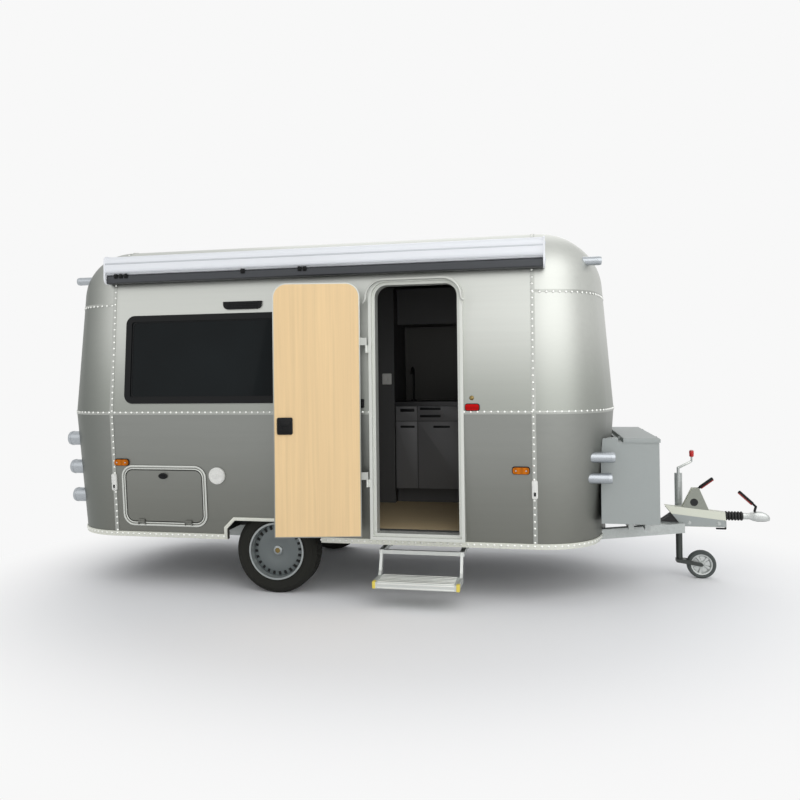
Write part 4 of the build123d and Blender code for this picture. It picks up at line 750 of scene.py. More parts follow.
class TRAILER_OT_skin(Operator):
    """Give the shell its rolled aluminium, with painted shade below the belt"""
    bl_idname = "trailer.skin"
    bl_label = "Skin"

    def execute(self, context):
        FINISH.update(make_finishes(context.scene.trailer_colours))
        dress("upper", *[node for node in SHELL if "lower" not in node])
        dress("lower", *[node for node in SHELL if "lower" in node], "locker_hatch")
        dress("sill", "sill_rail")
        return {"FINISHED"}


class TRAILER_OT_strips(Operator):
    """Lay flat strips over the belt, the upright seams and the foot of the domes"""
    bl_idname = "trailer.strips"
    bl_label = "Seam strips"

    def execute(self, context):
        sizes = context.scene.trailer_sizes
        half, thick = sizes.strip_width / 2, sizes.strip_thick
        up, along = Vector((0, 0, 1)), Vector((1, 0, 0))
        bm = bmesh.new()
        belt = [((0, 0, BELT + half * 0.8), up), ((0, 0, BELT - half * 0.8), -up)]
        add_band(bm, [node for node in SHELL if "roof" not in node], belt, thick)
        for seam in (SEAM_FRONT, SEAM_REAR):
            hoop = [((seam + half, 0, 0), along), ((seam - half, 0, 0), -along)]
            add_band(bm, SHELL, hoop, thick * 0.9)
        for end, seam, inner in (("front", SEAM_FRONT, -along), ("rear", SEAM_REAR, along)):
            foot = [((0, 0, UPPER_SEAM + half * 0.7), up), ((0, 0, UPPER_SEAM - half * 0.7), -up),
                    ((seam, 0, 0), inner)]
            add_band(bm, [f"end_{end}_upper", "roof_domes"], foot, thick * 0.8)
        piece("seam_strips", bm, "trailer", "skin", "seam")
        # Trim round the wheel arches, as (distance from the wheel, height) points
        trim, proud = 0.026, 0.009
        arch = [(0.378 + trim / 2, SKIRT + 0.002), (0.378 + trim / 2, 0.505),
                (0.313 + trim * 0.2, 0.565 + trim / 2)]
        above = 0.70
        bm = bmesh.new()
        for side, name in SIDES:
            centre = Vector(JOINTS[f"wheel_{name}_spin"]["pos_m"])
            place = on_wall(surface(f"side_{name}_lower"), centre.x, above, side)
            # The wall leans, so heights are longer along it
            steep = place[2][1]
            line = [(x, (z - above) / steep) for x, z in arch]
            line = [(-x, z) for x, z in line] + line[::-1]
            add_trim(bm, line, place, trim, proud)
        piece("arch_trims", bm, "trailer", "sill", "sill")
        return {"FINISHED"}


class TRAILER_OT_rivets(Operator):
    """Drive rows of round-headed rivets along the strips and the sill rail"""
    bl_idname = "trailer.rivets"
    bl_label = "Rivets"

    def execute(self, context):
        sizes = context.scene.trailer_sizes
        thick, inset = sizes.strip_thick, 0.004
        head = bmesh.new()
        bmesh.ops.create_uvsphere(head, u_segments=8, v_segments=6, radius=sizes.rivet_radius)
        geom = head.verts[:] + head.edges[:] + head.faces[:]
        bmesh.ops.bisect_plane(head, geom=geom, dist=1e-6, plane_co=(0, 0, 0), plane_no=(0, 0, -1),
                               clear_outer=True)
        bmesh.ops.scale(head, vec=(1, 1, 0.55), verts=head.verts)
        template = bpy.data.meshes.new("rivet")
        head.to_mesh(template)
        head.free()

        # Rows of rivets: the surface, the rays along it and how far its strip stands out
        walls = surface(*SHELL)
        rows = [(walls, ring_rays(BELT + 0.006), thick),
                (surface("sill_rail"), ring_rays(SKIRT + 0.022), 0.0)]
        rows += [(walls, hoop_rays(x), thick * 0.9)
                 for x in (SEAM_FRONT - inset, SEAM_REAR + inset)]
        ends = [ray for ray in ring_rays(UPPER_SEAM - 0.008)
                if not SEAM_REAR < ray[0].x < SEAM_FRONT]
        rows.append((walls, ends, thick * 0.8))
        bm = bmesh.new()
        for tree, rays, lift in rows:
            for spot, normal in evenly(tree, rays, sizes.rivet_pitch):
                start = len(bm.verts)
                bm.from_mesh(template)
                bm.verts.ensure_lookup_table()
                bmesh.ops.transform(bm, matrix=axis_place(spot + normal * lift, normal),
                                    verts=bm.verts[start:])
        bpy.data.meshes.remove(template)
        piece("rivets", bm, "trailer", "skin", "rivet", sharp=80)
        return {"FINISHED"}


class TRAILER_OT_wheels(Operator):
    """Mount ribbed tyres on slotted steel wheels"""
    bl_idname = "trailer.wheels"
    bl_label = "Wheels"

    def execute(self, context):
        tyre_steps, disc_steps = 120, 96
        bore, tread = 0.2125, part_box("wheel_right_tyre")[1].z / 2
        root = tread - context.scene.trailer_sizes.groove_depth
        # One side of the tyre, from bead to middle, as (radius, distance out from the middle)
        flank = [(bore, 0.082), (0.221, 0.091), (0.232, 0.0955), (0.236, 0.0935), (0.243, 0.0965),
                 (0.262, 0.0995), (0.283, 0.0965), (0.287, 0.0975), (0.291, 0.0945), (0.306, 0.086),
                 (0.317, 0.077), (tread - 0.003, 0.070)]
        ribs = [(tread, 0.064), (tread, 0.046), (root, 0.0445), (root, 0.0375), (tread, 0.036),
                (tread, 0.014), (root, 0.0125), (root, 0.0055), (tread, 0.004)]
        # The steel disc and its rim, from the hub cap to the lip and back inside to the brake drum
        disc = [(0, 0.058), (0.018, 0.058), (0.020, 0.061), (0.026, 0.060), (0.034, 0.055),
                (0.036, 0.044), (0.060, 0.041), (0.085, 0.046), (0.150, 0.050), (0.164, 0.047),
                (0.196, 0.040), (0.200, 0.046), (0.204, 0.086), (0.207, 0.0975), (0.220, 0.0975),
                (0.2218, 0.092), (0.2123, 0.0885), (0.2123, -0.0885), (0.2218, -0.092),
                (0.220, -0.0975), (0.206, -0.0975), (0.203, 0.020), (0.150, 0.034), (0.056, 0.028),
                (0.056, -0.012), (0.115, -0.014), (0.115, -0.068), (0.024, -0.070), (0.024, 0.026),
                (0, 0.026)]
        for way, side in SIDES:
            place = axis_place(JOINTS[f"wheel_{side}_spin"]["pos_m"], (0, way, 0))
            bm = bmesh.new()
            add_turned(bm, both_ways(flank + ribs), place, tyre_steps)
            # Cuts across the shoulders, and finer ones across the inner ribs
            shoulder, inner = [], []
            for face, radius, out, step in faces_round(bm, place, tyre_steps):
                if radius > tread - 0.002 and abs(out) > 0.045 and step % 2 == 0:
                    shoulder.append(face)
                elif radius > tread - 0.002 and 0.014 < abs(out) < 0.036 and step % 3 == 0:
                    inner.append(face)
            bmesh.ops.inset_individual(bm, faces=shoulder, thickness=0.0045, depth=-0.005)
            bmesh.ops.inset_individual(bm, faces=inner, thickness=0.006, depth=-0.004)
            piece(f"road_tyre_{side}", bm, f"wheel_{side}", "tyre", "rubber",
                  replaces=[f"wheel_{side}_tyre"])

            bm = bmesh.new()
            add_turned(bm, disc, place, disc_steps)
            slots = {}
            for face, radius, out, step in faces_round(bm, place, disc_steps):
                # Shallow slots painted black as shade; the lip and a ring round the cap painted
                # highlight
                if out > 0.03 and 0.17 < radius < 0.192 and step % 4 < 2:
                    slots.setdefault(step // 4, []).append(face)
                elif out > 0.03 and radius > 0.198:
                    face.material_index = 2
                elif out > 0.043 and radius < 0.036:
                    face.material_index = 3 if radius < 0.020 else 2
            for faces in slots.values():
                bmesh.ops.inset_region(bm, faces=faces, thickness=0.002, depth=-0.005,
                                       use_even_offset=True)
                paint(faces, 1)
            piece(f"wheel_{side}", bm, f"wheel_{side}", "wheel_paint", "wheel", "shadow",
                  "wheel_highlight", "brass", replaces=[f"wheel_{side}_rim"])
        dress("zinc", "axle")
        return {"FINISHED"}


class TRAILER_OT_door(Operator):
    """Finish the entry door: skin, laminate lining, latch, the catch on the wall and a rain hood"""
    bl_idname = "trailer.door"
    bl_label = "Entry door"

    def execute(self, context):
        dress("bead", "door_frame")
        dress("seam", "door_hinges_moving")
        dress("lining", "door_lining")
        dress("door_skin", "door_leaf")
        joint = JOINTS["entry_door_swing"]
        pivot = Vector(joint["pos_m"])
        opened = (Matrix.Translation(pivot)
                  @ Matrix.Rotation(math.radians(-joint["range_deg"][1]), 4, "Z")
                  @ Matrix.Translation(-pivot))
        # The latch as it stands with the door shut, inside face towards +Y
        low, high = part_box("door_lock")[0].z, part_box("door_lock")[1].z
        left, right, face, outside = 0.3935, 0.5085, -0.9096, -0.9436
        wide, tall, corner = right - left, high - low, 0.013
        middle = Vector(((left + right) / 2, face, (low + high) / 2))
        inside = opened @ Matrix.Translation(middle) @ turned_to((0, 1, 0))
        out = opened @ Matrix.Translation((middle.x, outside, middle.z)) @ turned_to(FACING_RIGHT)
        bm = bmesh.new()
        add_plate(bm, wide, tall, corner, 0.012, inside, edge=0.004)
        add_plate(bm, 0.084, 0.090, 0.010, 0.019, inside, edge=0.003)
        add_plate(bm, 0.074, 0.034, 0.010, 0.026, moved(inside, 0.0, 0.016), edge=0.005)
        add_turned(bm, [(0, 0.026), (0.007, 0.026), (0.009, 0.024), (0.009, 0.01), (0, 0.01)],
                   moved(inside, -0.022, -0.026), 20)
        add_plate(bm, wide, tall, corner, 0.006, out, edge=0.002)
        add_plate(bm, 0.080, 0.036, 0.010, 0.013, moved(out, 0.0, 0.014), edge=0.005)
        piece("door_latch", bm, "entry_door", "black_plastic", "black", replaces=["door_lock"])

        # The catch that holds the open door, and a stud ahead of the doorway
        walls = side_wall("right")
        bm = bmesh.new()
        spot = on_wall(walls, -0.1850, 1.470)
        add_plate(bm, 0.030, 0.066, 0.008, 0.009, spot, edge=0.003)
        add_plate(bm, 0.016, 0.026, 0.006, 0.018, moved(spot, 0, -0.006), edge=0.004)
        piece("door_catch", bm, "trailer", "black_plastic", "black")
        bm = bmesh.new()
        add_turned(bm, [(0, 0.008), (0.008, 0.007), (0.015, 0.003), (0.017, 0), (0, 0)],
                   on_wall(walls, 0.621, 1.506), 20)
        piece("doorside_stud", bm, "trailer", "skin", "brass")

        # Rain hood round the top of the frame, its ends turned out
        low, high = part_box("door_frame")
        place = upright(((low.x + high.x) / 2, low.y, high.z), FACING_RIGHT)
        wide, corner, inset = (high.x - low.x) / 2, 0.145, 0.009
        turns = [math.radians(angle) for angle in range(0, 91, 10)]
        run = [(wide + 0.014, -corner - 0.034), (wide - inset + 0.003, -corner - 0.014)]
        run += [(wide - corner + (corner - inset) * math.cos(turn),
                 (corner - inset) * math.sin(turn) - corner) for turn in turns]
        bm = bmesh.new()
        add_trim(bm, run + [(-x, y) for x, y in reversed(run)], place, 0.016, 0.014)
        piece("rain_hood", bm, "trailer", "skin", "hood")
        return {"FINISHED"}


class TRAILER_OT_windows(Operator):
    """Glaze the windows in black frames with a rim round each pane, and louvre the side slot"""
    bl_idname = "trailer.windows"
    bl_label = "Windows"

    def execute(self, context):
        dress("black", "window_frames", "side_slot")
        dress("glass", "window_panes")
        low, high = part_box("window_frames")
        # The walls lean in by 3 degrees, so the frame is taller along its wall than upright
        lean = math.radians(3)
        wide, tall = high.x - low.x, (high.z - low.z) / math.cos(lean)
        walls = surface("window_frames", "window_panes")
        bm = bmesh.new()
        for side in (RIGHT, LEFT):
            place = on_wall(walls, *middle_of("window_frames"), side)
            add_plate(bm, wide * 0.925, tall * 0.86, 0.045, 0.003, place, edge=0.001, rim=0.009)
        piece("window_gaskets", bm, "trailer", "rubber", "black")
        bm = bmesh.new()
        place = on_wall(surface("side_slot"), *middle_of("side_slot"))
        for shift in (-0.014, 0, 0.014):
            add_plate(bm, 0.250, 0.007, 0.003, 0.004, moved(place, 0, shift), edge=0.001)
        piece("side_slot_louvres", bm, "trailer", "black_plastic", "black")
        return {"FINISHED"}


class TRAILER_OT_locker(Operator):
    """Fit the locker's beads and lock, and the round service cap's lid"""
    bl_idname = "trailer.locker"
    bl_label = "Locker and cap"

    def execute(self, context):
        dress("lower", "locker_frame")
        dress("white", "service_cap")
        bm = bmesh.new()
        for inset, corner, width in ((0.008, 0.087, 0.013), (0.027, 0.070, 0.008)):
            add_bead(bm, surface("locker_frame"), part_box("locker_frame"), inset, corner, width,
                     0.004)
        piece("locker_beads", bm, "trailer", "skin", "bead")
        lock_z = 0.9044
        place = on_wall(surface("locker_hatch"), middle_of("locker_hatch")[0], lock_z)
        oval = place @ Matrix.Diagonal((1.0, 0.62, 1.0, 1.0))
        bm = bmesh.new()
        add_turned(bm, [(0, 0.005), (0.020, 0.005), (0.030, 0.006), (0.037, 0.003), (0.038, 0),
                        (0, 0)], oval, 32)
        add_plate(bm, 0.034, 0.010, 0.004, 0.010, place, edge=0.002)
        piece("locker_lock", bm, "locker_hatch", "black_plastic", "black")
        bm = bmesh.new()
        place = on_wall(surface("service_cap"), *middle_of("service_cap"))
        add_turned(bm, [(0, 0.004), (0.020, 0.004), (0.023, 0.001), (0.050, 0.001), (0.052, 0.005),
                        (0.058, 0.005), (0.061, 0), (0, 0)], place, 48)
        add_plate(bm, 0.008, 0.026, 0.003, 0.007, place, edge=0.002)
        for shift in (-0.032, 0.032):
            add_plate(bm, 0.010, 0.004, 0.001, 0.006, moved(place, shift, 0), edge=0.001)
        piece("service_cap_lid", bm, "trailer", "grey_plastic", "white")
        return {"FINISHED"}


class TRAILER_OT_lamps(Operator):
    """Lens the lamps: red behind, clear in front, amber along the sides"""
    bl_idname = "trailer.lamps"
    bl_label = "Lamps"

    def execute(self, context):
        dress("lamp_shell", "rear_lamps", "front_lamps", "clearance_lamps")
        dress("amber", "side_markers")
        dress("white", "seam_lamps")
        dress("red_lens", "entry_lamp")
        # Lamps: distance past the seam, distance from the middle plane, height, radius
        clearance = (0.495, 0.70, 2.505, 0.033)
        red = ((0.545, 0.75, 1.180, 0.058), (0.525, 0.75, 0.943, 0.058),
               (0.500, 0.75, 0.708, 0.058), clearance)
        clear = ((0.565, 0.80, 1.064, 0.038), (0.543, 0.80, 0.912, 0.038), clearance)
        # Lens and bezel as (part of the lamp's radius, distance out of its face)
        dome = ((0, 0.006), (0.45, 0.005), (0.74, 0.001), (0.76, -0.004), (0, -0.004))
        rim = ((0.76, -0.003), (0.78, 0.003), (0.88, 0.0025), (0.94, -0.001), (1.005, -0.012),
               (1.02, -0.020), (1.02, -0.028), (0.97, -0.030), (0.7, -0.012))
        bezels = bmesh.new()
        for name, slot, finish, seam, way, rows in (
                ("rear_lenses", "red_lens", "red_lens", SEAM_REAR, -1, red),
                ("front_lenses", "chrome_lamp", "clear_lens", SEAM_FRONT, 1, clear)):
            lenses = bmesh.new()
            for past, offset, z, radius in rows:
                for side in (RIGHT, LEFT):
                    tip = (seam + way * past, CENTRE_Y + side * offset, z)
                    place = axis_place(tip, (way, 0, 0))
                    add_turned(lenses, [(radius * part, out) for part, out in dome], place, 40)
                    add_turned(bezels, [(radius * part, out) for part, out in rim], place, 40)
            piece(name, lenses, "trailer", slot, finish)
        piece("lamp_bezels", bezels, "trailer", "chrome_lamp", "lamp_shell")

        # Bases and screws of the side markers, covers of the seam lamps, base of the entry lamp
        bases, screws, covers = bmesh.new(), bmesh.new(), bmesh.new()
        seam_lamp_z = 0.850
        for side, name in SIDES:
            for x, z in ((SEAM_REAR + 0.072, 1.010), (SEAM_FRONT - 0.095, 0.985)):
                place = on_wall(side_wall(name), x, z, side)
                add_plate(bases, 0.127, 0.058, 0.019, 0.006, place, edge=0.002)
                for shift in (-0.036, 0.036):
                    add_turned(screws, [(0, 0.0235), (0.004, 0.0235), (0.0055, 0.022),
                                        (0.0055, 0.015), (0, 0.015)], moved(place, shift, 0), 14)
            for x in (SEAM_REAR, SEAM_FRONT):
                place = on_wall(surface("seam_lamps"), x, seam_lamp_z, side)
                add_plate(covers, 0.036, 0.118, 0.010, 0.004, place, edge=0.0015)
                add_plate(bases, 0.018, 0.030, 0.004, 0.004, moved(place, 0, -0.034), edge=0.001)
        place = on_wall(side_wall("right"), *middle_of("entry_lamp"))
        add_plate(bases, 0.107, 0.055, 0.018, 0.006, place, edge=0.002)
        piece("lamp_bases", bases, "trailer", "black_plastic", "black")
        piece("seam_lamp_covers", covers, "trailer", "chrome_lamp", "white")
        piece("lamp_screws", screws, "trailer", "chrome_lamp", "lamp_shell")
        return {"FINISHED"}


class TRAILER_OT_awning(Operator):
    """Enamel the awning case, paint shade on its lead rail and clip its rafters"""
    bl_idname = "trailer.awning"
    bl_label = "Awning"

    def execute(self, context):
        dress("enamel", "awning_cassette", "awning_end_caps")
        # The lead rail darkened as painted shade under the case
        dress("rail_painted_shade", "awning_lead_rail")
        clips, clip_z = bmesh.new(), 2.488
        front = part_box("awning_lead_rail")[0].y
        for x, wide in ((-2.184, 0.030), (-2.141, 0.030), (-2.097, 0.030), (-1.115, 0.034),
                        (-0.660, 0.030), (-0.621, 0.030)):
            place = upright((x, front, clip_z), FACING_RIGHT)
            add_plate(clips, wide, 0.034, 0.006, 0.010, place, edge=0.003)
            add_plate(clips, wide * 0.5, 0.016, 0.004, 0.015, place, edge=0.002)
        piece("awning_clips", clips, "trailer", "black_plastic", "black")
        ribs, half = bmesh.new(), 0.005
        low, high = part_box("awning_cassette")
        for z, thick in ((high.z - 0.060, 0.005), (low.z + 0.020, 0.004)):
            add_box(ribs, (low.x, low.y - thick, z - half), (high.x, low.y + 0.010, z + half),
                    bevel=0.0018)
        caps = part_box("awning_end_caps")
        for x, way in ((caps[0].x, -1), (caps[1].x, 1)):
            for z in (caps[1].z - 0.045, caps[0].z + 0.060):
                add_bolt(ribs, (x, (caps[0].y + caps[1].y) / 2, z), (way, 0, 0), 0.009, 0.005)
        piece("awning_ribs", ribs, "trailer", "awning_enamel", "enamel_rib")
        return {"FINISHED"}


class TRAILER_OT_step(Operator):
    """Rib the step's tread and cap its corners in yellow"""
    bl_idname = "trailer.step"
    bl_label = "Entry step"

    def execute(self, context):
        dress("zinc", "step_guides")
        dress("tread", "step_carriage", "step_tread")
        low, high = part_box("step_tread")
        margin, count, arm = 0.016, 6, 0.020
        left, right = low.x + margin, high.x - margin
        ribs = bmesh.new()
        for index in range(count):
            y = low.y + margin + (high.y - low.y - 2 * margin) * index / (count - 1)
            add_box(ribs, (left, y - 0.008, high.z - 0.001), (right, y + 0.008, high.z + 0.005),
                    bevel=0.002)
        # Two ribs along the front edge
        for z in (low.z + 0.008, high.z - 0.010):
            add_box(ribs, (left, low.y - 0.002, z - 0.004), (right, low.y + 0.001, z + 0.004),
                    bevel=0.001)
        # The ribs take the bright rivet metal as a painted highlight along their ridges
        piece("tread_ribs", ribs, "step", "galvanised", "rivet")
        caps = bmesh.new()
        for x in (low.x - arm, high.x):
            add_box(caps, (x - 0.002, low.y - 0.003, low.z - 0.002),
                    (x + arm + 0.002, low.y + 0.045, high.z + 0.003), bevel=0.004)
        piece("tread_caps", caps, "step", "galvanised", "yellow")
        return {"FINISHED"}


class TRAILER_OT_box(Operator):
    """Finish the storage box on the drawbar: enamel, latches and the flanges behind it"""
    bl_idname = "trailer.box"
    bl_label = "Storage box"

    def execute(self, context):
        dress("box", "storage_box", "storage_lid")
        low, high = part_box("storage_lid")
        bm = bmesh.new()
        for y in (CENTRE_Y - 0.45, CENTRE_Y + 0.45):
            place = upright((high.x, y, (low.z + high.z) / 2), (1, 0, 0))
            add_plate(bm, 0.052, 0.024, 0.005, 0.006, place, edge=0.002)
            add_plate(bm, 0.030, 0.014, 0.004, 0.012, place, edge=0.003)
        piece("box_latches", bm, "storage_lid", "black_plastic", "black")
        # Flanges that carry the box's sides back towards the shell's bow
        low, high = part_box("storage_box")
        bow = surface("end_front_lower", "end_front_upper")
        lap, gap, most, sheet, count = 0.012, 0.003, 0.030, 0.0035, 12
        bm = bmesh.new()
        for y, way in ((low.y, RIGHT), (high.y, LEFT)):
            line = [(lap, high.z), (lap, low.z)]
            for index in range(count + 1):
                z = low.z + (high.z - low.z) * index / count
                spot = bow.ray_cast(Vector((high.x, y, z)), Vector((-1, 0, 0)), 1.0)[0]
                line.append((min(max(spot.x + gap - low.x, -most), 0.0), z))
            place = upright((low.x, y - way * 0.003, 0), (0, way, 0))
            add_sheet(bm, [(-way * x, z) for x, z in line], place, sheet)
        piece("box_infills", bm, "trailer", "galvanised", "box")
        return {"FINISHED"}


class TRAILER_OT_hitch(Operator):
    """Finish the drawbar, overrun housing, coupling and levers"""
    bl_idname = "trailer.hitch"
    bl_label = "Hitch"

    def execute(self, context):
        dress("zinc", "chassis_rails", "chassis_cross_members", "drawbar_beams")
        dress("housing", "overrun_housing")
        dress("bellows", "overrun_bellows")
        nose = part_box("coupling_head")[1].x
        rear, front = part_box("overrun_housing")[0].x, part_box("overrun_housing")[1].x
        # Cast head as sections along x: distance behind the nose, half width, bottom and top
        sections = ((0.198, 0.024, 0.511, 0.559), (0.150, 0.024, 0.511, 0.559),
                    (0.128, 0.034, 0.501, 0.568), (0.105, 0.040, 0.497, 0.573),
                    (0.060, 0.041, 0.497, 0.571), (0.030, 0.038, 0.499, 0.560),
                    (0.010, 0.028, 0.503, 0.545), (0.002, 0.014, 0.508, 0.530))
        bm = bmesh.new()
        add_loft(bm, [(nose - behind, *section) for behind, *section in sections])
        # The mouth that drops over the ball, in painted shade
        paint([face for face in bm.faces if face.normal.z < -0.9
               and nose - 0.105 < face.calc_center_median().x < nose - 0.03], 1)
        piece("coupling_casting", bm, "trailer", "cast_silver", "casting", "shadow",
              replaces=["coupling_head"])

        # Handbrake and coupling levers as (x, z) points, grips on their last runs
        thick, half, slim = 0.024, 0.015, 0.7
        pin = (rear + 0.223, 0.640)
        handbrake = (pin, (rear + 0.251, 0.740), (rear + 0.365, 0.826))
        coupling = ((nose - 0.111, 0.576), (nose - 0.101, 0.612), (nose - 0.220, 0.724))
        bm = bmesh.new()
        for foot, bend, tip in (handbrake, coupling):
            add_bar(bm, foot, bend, half * slim, thick * slim)
            add_bar(bm, bend, tip, half * slim, thick * slim)
            start = tuple(a + (b - a) * 0.22 for a, b in zip(bend, tip))
            add_bar(bm, start, tip, half, thick)
            # A red stripe along the grip's underside
            along = (Vector(tip) - Vector(bend)).normalized()
            under = Vector((along.y, -along.x)) * math.copysign(thick * 0.46, along.x)
            add_bar(bm, Vector(start) + under, Vector(tip) + under, half * 1.02, 0.009, 1)
        add_turned(bm, [(0, 0.0225), (0.009, 0.0225), (0.009, -0.0225), (0, -0.0225)],
                   axis_place((pin[0], CENTRE_Y, pin[1]), (0, 1, 0)), 20)
        hook_x, hook_z = front + 0.0065, 0.4315
        hook = [(hook_x, 0.490), (hook_x, hook_z), (front - 0.0605, hook_z)]
        for start, end in zip(hook, hook[1:]):
            add_bar(bm, start, end, 0.010, 0.012)
        piece("hitch_grips", bm, "trailer", "black_plastic", "black", "red_stripe",
              replaces=["hitch_levers"])

        bolts = bmesh.new()
        for way in (RIGHT, LEFT):
            for x in (rear + 0.18, rear + 0.40):
                add_bolt(bolts, (x, CENTRE_Y + way * 0.060, 0.482), (0, way, 0), 0.012, 0.008)
        piece("hitch_bolts", bolts, "trailer", "galvanised", "zinc")

        # Zinc sheets over the lever bracket, holes in them in painted shade, and grey flanks under
        # the housing's bevels, also painted shade, as (distance ahead of the housing's rear,
        # height) points
        drop, sheet = 0.047 / 0.453, 0.002
        bracket = ((0.137, 0.613 - 0.137 * drop), (0.333, 0.613 - 0.333 * drop), (0.262, 0.751),
                   (0.212, 0.751))
        flank = ((0.105, 0.481), (0.144, 0.481), (0.144, 0.454), (front - rear, 0.454),
                 (front - rear, 0.505), (0.049, 0.551))
        plates, holes, flanks = bmesh.new(), bmesh.new(), bmesh.new()
        for way in (RIGHT, LEFT):
            place = upright((rear, CENTRE_Y + way * 0.030, 0), (0, way, 0))
            add_sheet(plates, [(-way * x, z) for x, z in bracket], place, sheet)
            # Dark discs as painted shade in the bracket's holes
            add_turned(holes, [(0, 0.004), (0.028, 0.004), (0.030, 0.002), (0, 0.002)],
                       moved(place, -way * 0.223, 0.640), 28)
            # Grey flanks as painted shade on the housing's lower sides
            place = upright((rear, CENTRE_Y + way * 0.058, 0), (0, way, 0))
            add_sheet(flanks, [(-way * x, z) for x, z in flank], place, sheet)
        piece("bracket_sheets", plates, "trailer", "galvanised", "bracket")
        piece("bracket_holes", holes, "trailer", "black_plastic", "shadow")
        piece("housing_flank_shade", flanks, "trailer", "housing_paint", "box")

        # The housing's open rear in painted shade: a dark plate on its slope, and a wedge under
        # that
        slope = Vector((0.105, 0, -0.133)).normalized()
        turn = Matrix((Vector((0, -1, 0)), slope, Vector((slope.z, 0, -slope.x))))
        centre = Matrix.Translation((rear + 0.0525, CENTRE_Y, 0.5465))
        wedge, half = [(-0.035, 0.484), (0.100, 0.484), (0.050, 0.547)], 0.050
        mouth = bmesh.new()
        add_plate(mouth, 0.090, 0.130, 0.012, 0.0025, centre @ turn.transposed().to_4x4(),
                  edge=0.001)
        add_sheet(mouth, wedge, upright((rear, CENTRE_Y + half, 0), FACING_RIGHT), 2 * half)
        piece("housing_mouth_shade", mouth, "trailer", "rubber", "bellows")
        return {"FINISHED"}


class TRAILER_OT_jockey(Operator):
    """Finish the jockey wheel: its tubes, the crank's arm and knob, and the roller"""
    bl_idname = "trailer.jockey"
    bl_label = "Jockey wheel"

    def execute(self, context):
        dress("zinc", "jockey_tube", "jockey_crank")
        # The leg and fork in zinc darkened as painted shade
        dress("shaded_zinc", "jockey_leg", "jockey_fork")
        low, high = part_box("jockey_crank")
        top = Vector((high.x - 0.017, (low.y + high.y) / 2, high.z))
        knob = bmesh.new()
        add_turned(knob, [(0, 0.002), (0.009, 0.001), (0.0155, -0.003), (0.0182, -0.010),
                          (0.0182, -0.020), (0.0176, -0.034), (0.0176, -0.049), (0.0110, -0.055),
                          (0, -0.055)], axis_place(top, (0, 0, 1)), 28)
        piece("crank_knob", knob, "trailer", "red_lens", "red_grip")
        # A scuffed aluminium sleeve over the crank's slanting arm
        foot_z, tip_z, radius = 0.894, 0.950, 0.0105
        foot = Vector((low.x + 0.0112, top.y, foot_z))
        reach = Vector((top.x, top.y, tip_z)) - foot
        tip = reach.length - 0.004
        sleeve = bmesh.new()
        add_turned(sleeve, [(0, 0.004), (radius - 0.001, 0.004), (radius, 0.006),
                            (radius, tip - 0.002), (radius - 0.001, tip), (0, tip)],
                   axis_place(foot, reach), 24)
        piece("crank_sleeve", sleeve, "trailer", "galvanised", "tread")

        # Roller, from its side to its middle, as (radius, distance out from the middle)
        place = axis_place(JOINTS["jockey_wheel_spin"]["pos_m"], (0, 1, 0))
        size, half, web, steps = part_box("jockey_wheel")[1].z / 2, 0.030, 0.011, 60
        rubber = [(0.083, half - 0.006), (0.094, half - 0.001), (0.101, half - 0.001),
                  (size - 0.003, half - 0.008), (size, half - 0.014), (size, 0.004),
                  (size - 0.003, 0.002)]
        hub = [(0.0085, half - 0.001), (0.019, half - 0.001), (0.022, half - 0.004), (0.024, web),
               (0.070, web), (0.074, half - 0.007), (0.0832, half - 0.006)]
        bm = bmesh.new()
        add_turned(bm, both_ways(rubber), place, 64)
        add_turned(bm, both_ways(hub), place, steps, 1)
        # Five pockets on each side of the web
        pockets = {}
        for face, _, out, step in faces_round(bm, place, steps):
            if abs(abs(out) - web) < 0.001 and step % 12 < 9:
                pockets.setdefault((step // 12, out > 0), []).append(face)
        for faces in pockets.values():
            bmesh.ops.inset_region(bm, faces=faces, thickness=0.005, depth=-0.007,
                                   use_even_offset=True)
        piece("jockey_roller", bm, "jockey_wheel", "rubber", "grey_rubber", "casting",
              replaces=["jockey_wheel"])
        return {"FINISHED"}


class TRAILER_OT_cabin(Operator):
    """Furnish what shows through the doorway: planks, cabinet fronts, lockers and a switch"""
    bl_idname = "trailer.cabin"
    bl_label = "Cabin"

    def execute(self, context):
        dress("floor", "floor_pan")
        dress("cabinet", "kitchen_cabinet", "cabin_lockers")
        dress("counter", "kitchen_counter")
        dress("black", "kitchen_tap")
        face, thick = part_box("kitchen_cabinet")[0].y, 0.012
        columns = ((-0.190, 0.002), (0.012, 0.440), (0.446, 0.866))
        levels = ((0.660, 1.262), (1.268, 1.398))
        fronts, pulls, plate = bmesh.new(), bmesh.new(), bmesh.new()
        add_panels(fronts, [(*column, *level) for level in levels for column in columns], face,
                   corner=0.004, thick=thick, edge=0.002)
        piece("cabinet_fronts", fronts, "trailer", "pale_wood", "cabinet_front")
        # Dark finger slots as left, right, bottom and top edges
        slots = ((-0.150, -0.020, 1.350, 1.378), (0.030, 0.218, 1.366, 1.388),
                 (0.030, 0.218, 1.300, 1.322), (0.480, 0.830, 1.350, 1.378),
                 (-0.150, -0.020, 1.205, 1.225), (0.150, 0.300, 1.205, 1.225),
                 (0.580, 0.730, 1.205, 1.225))
        add_panels(pulls, slots, face - thick, corner=0.006, thick=0.003, edge=0.001)
        piece("cabinet_pulls", pulls, "trailer", "black_plastic", "black")
        place = upright((-0.272, face, 1.649), FACING_RIGHT)
        add_plate(plate, 0.085, 0.100, 0.008, 0.009, place, edge=0.003)
        for shift in (-0.019, 0.019):
            add_plate(plate, 0.032, 0.062, 0.004, 0.012, moved(place, shift, 0), edge=0.002)
        piece("switch_plate", plate, "trailer", "grey_plastic", "white")
        return {"FINISHED"}


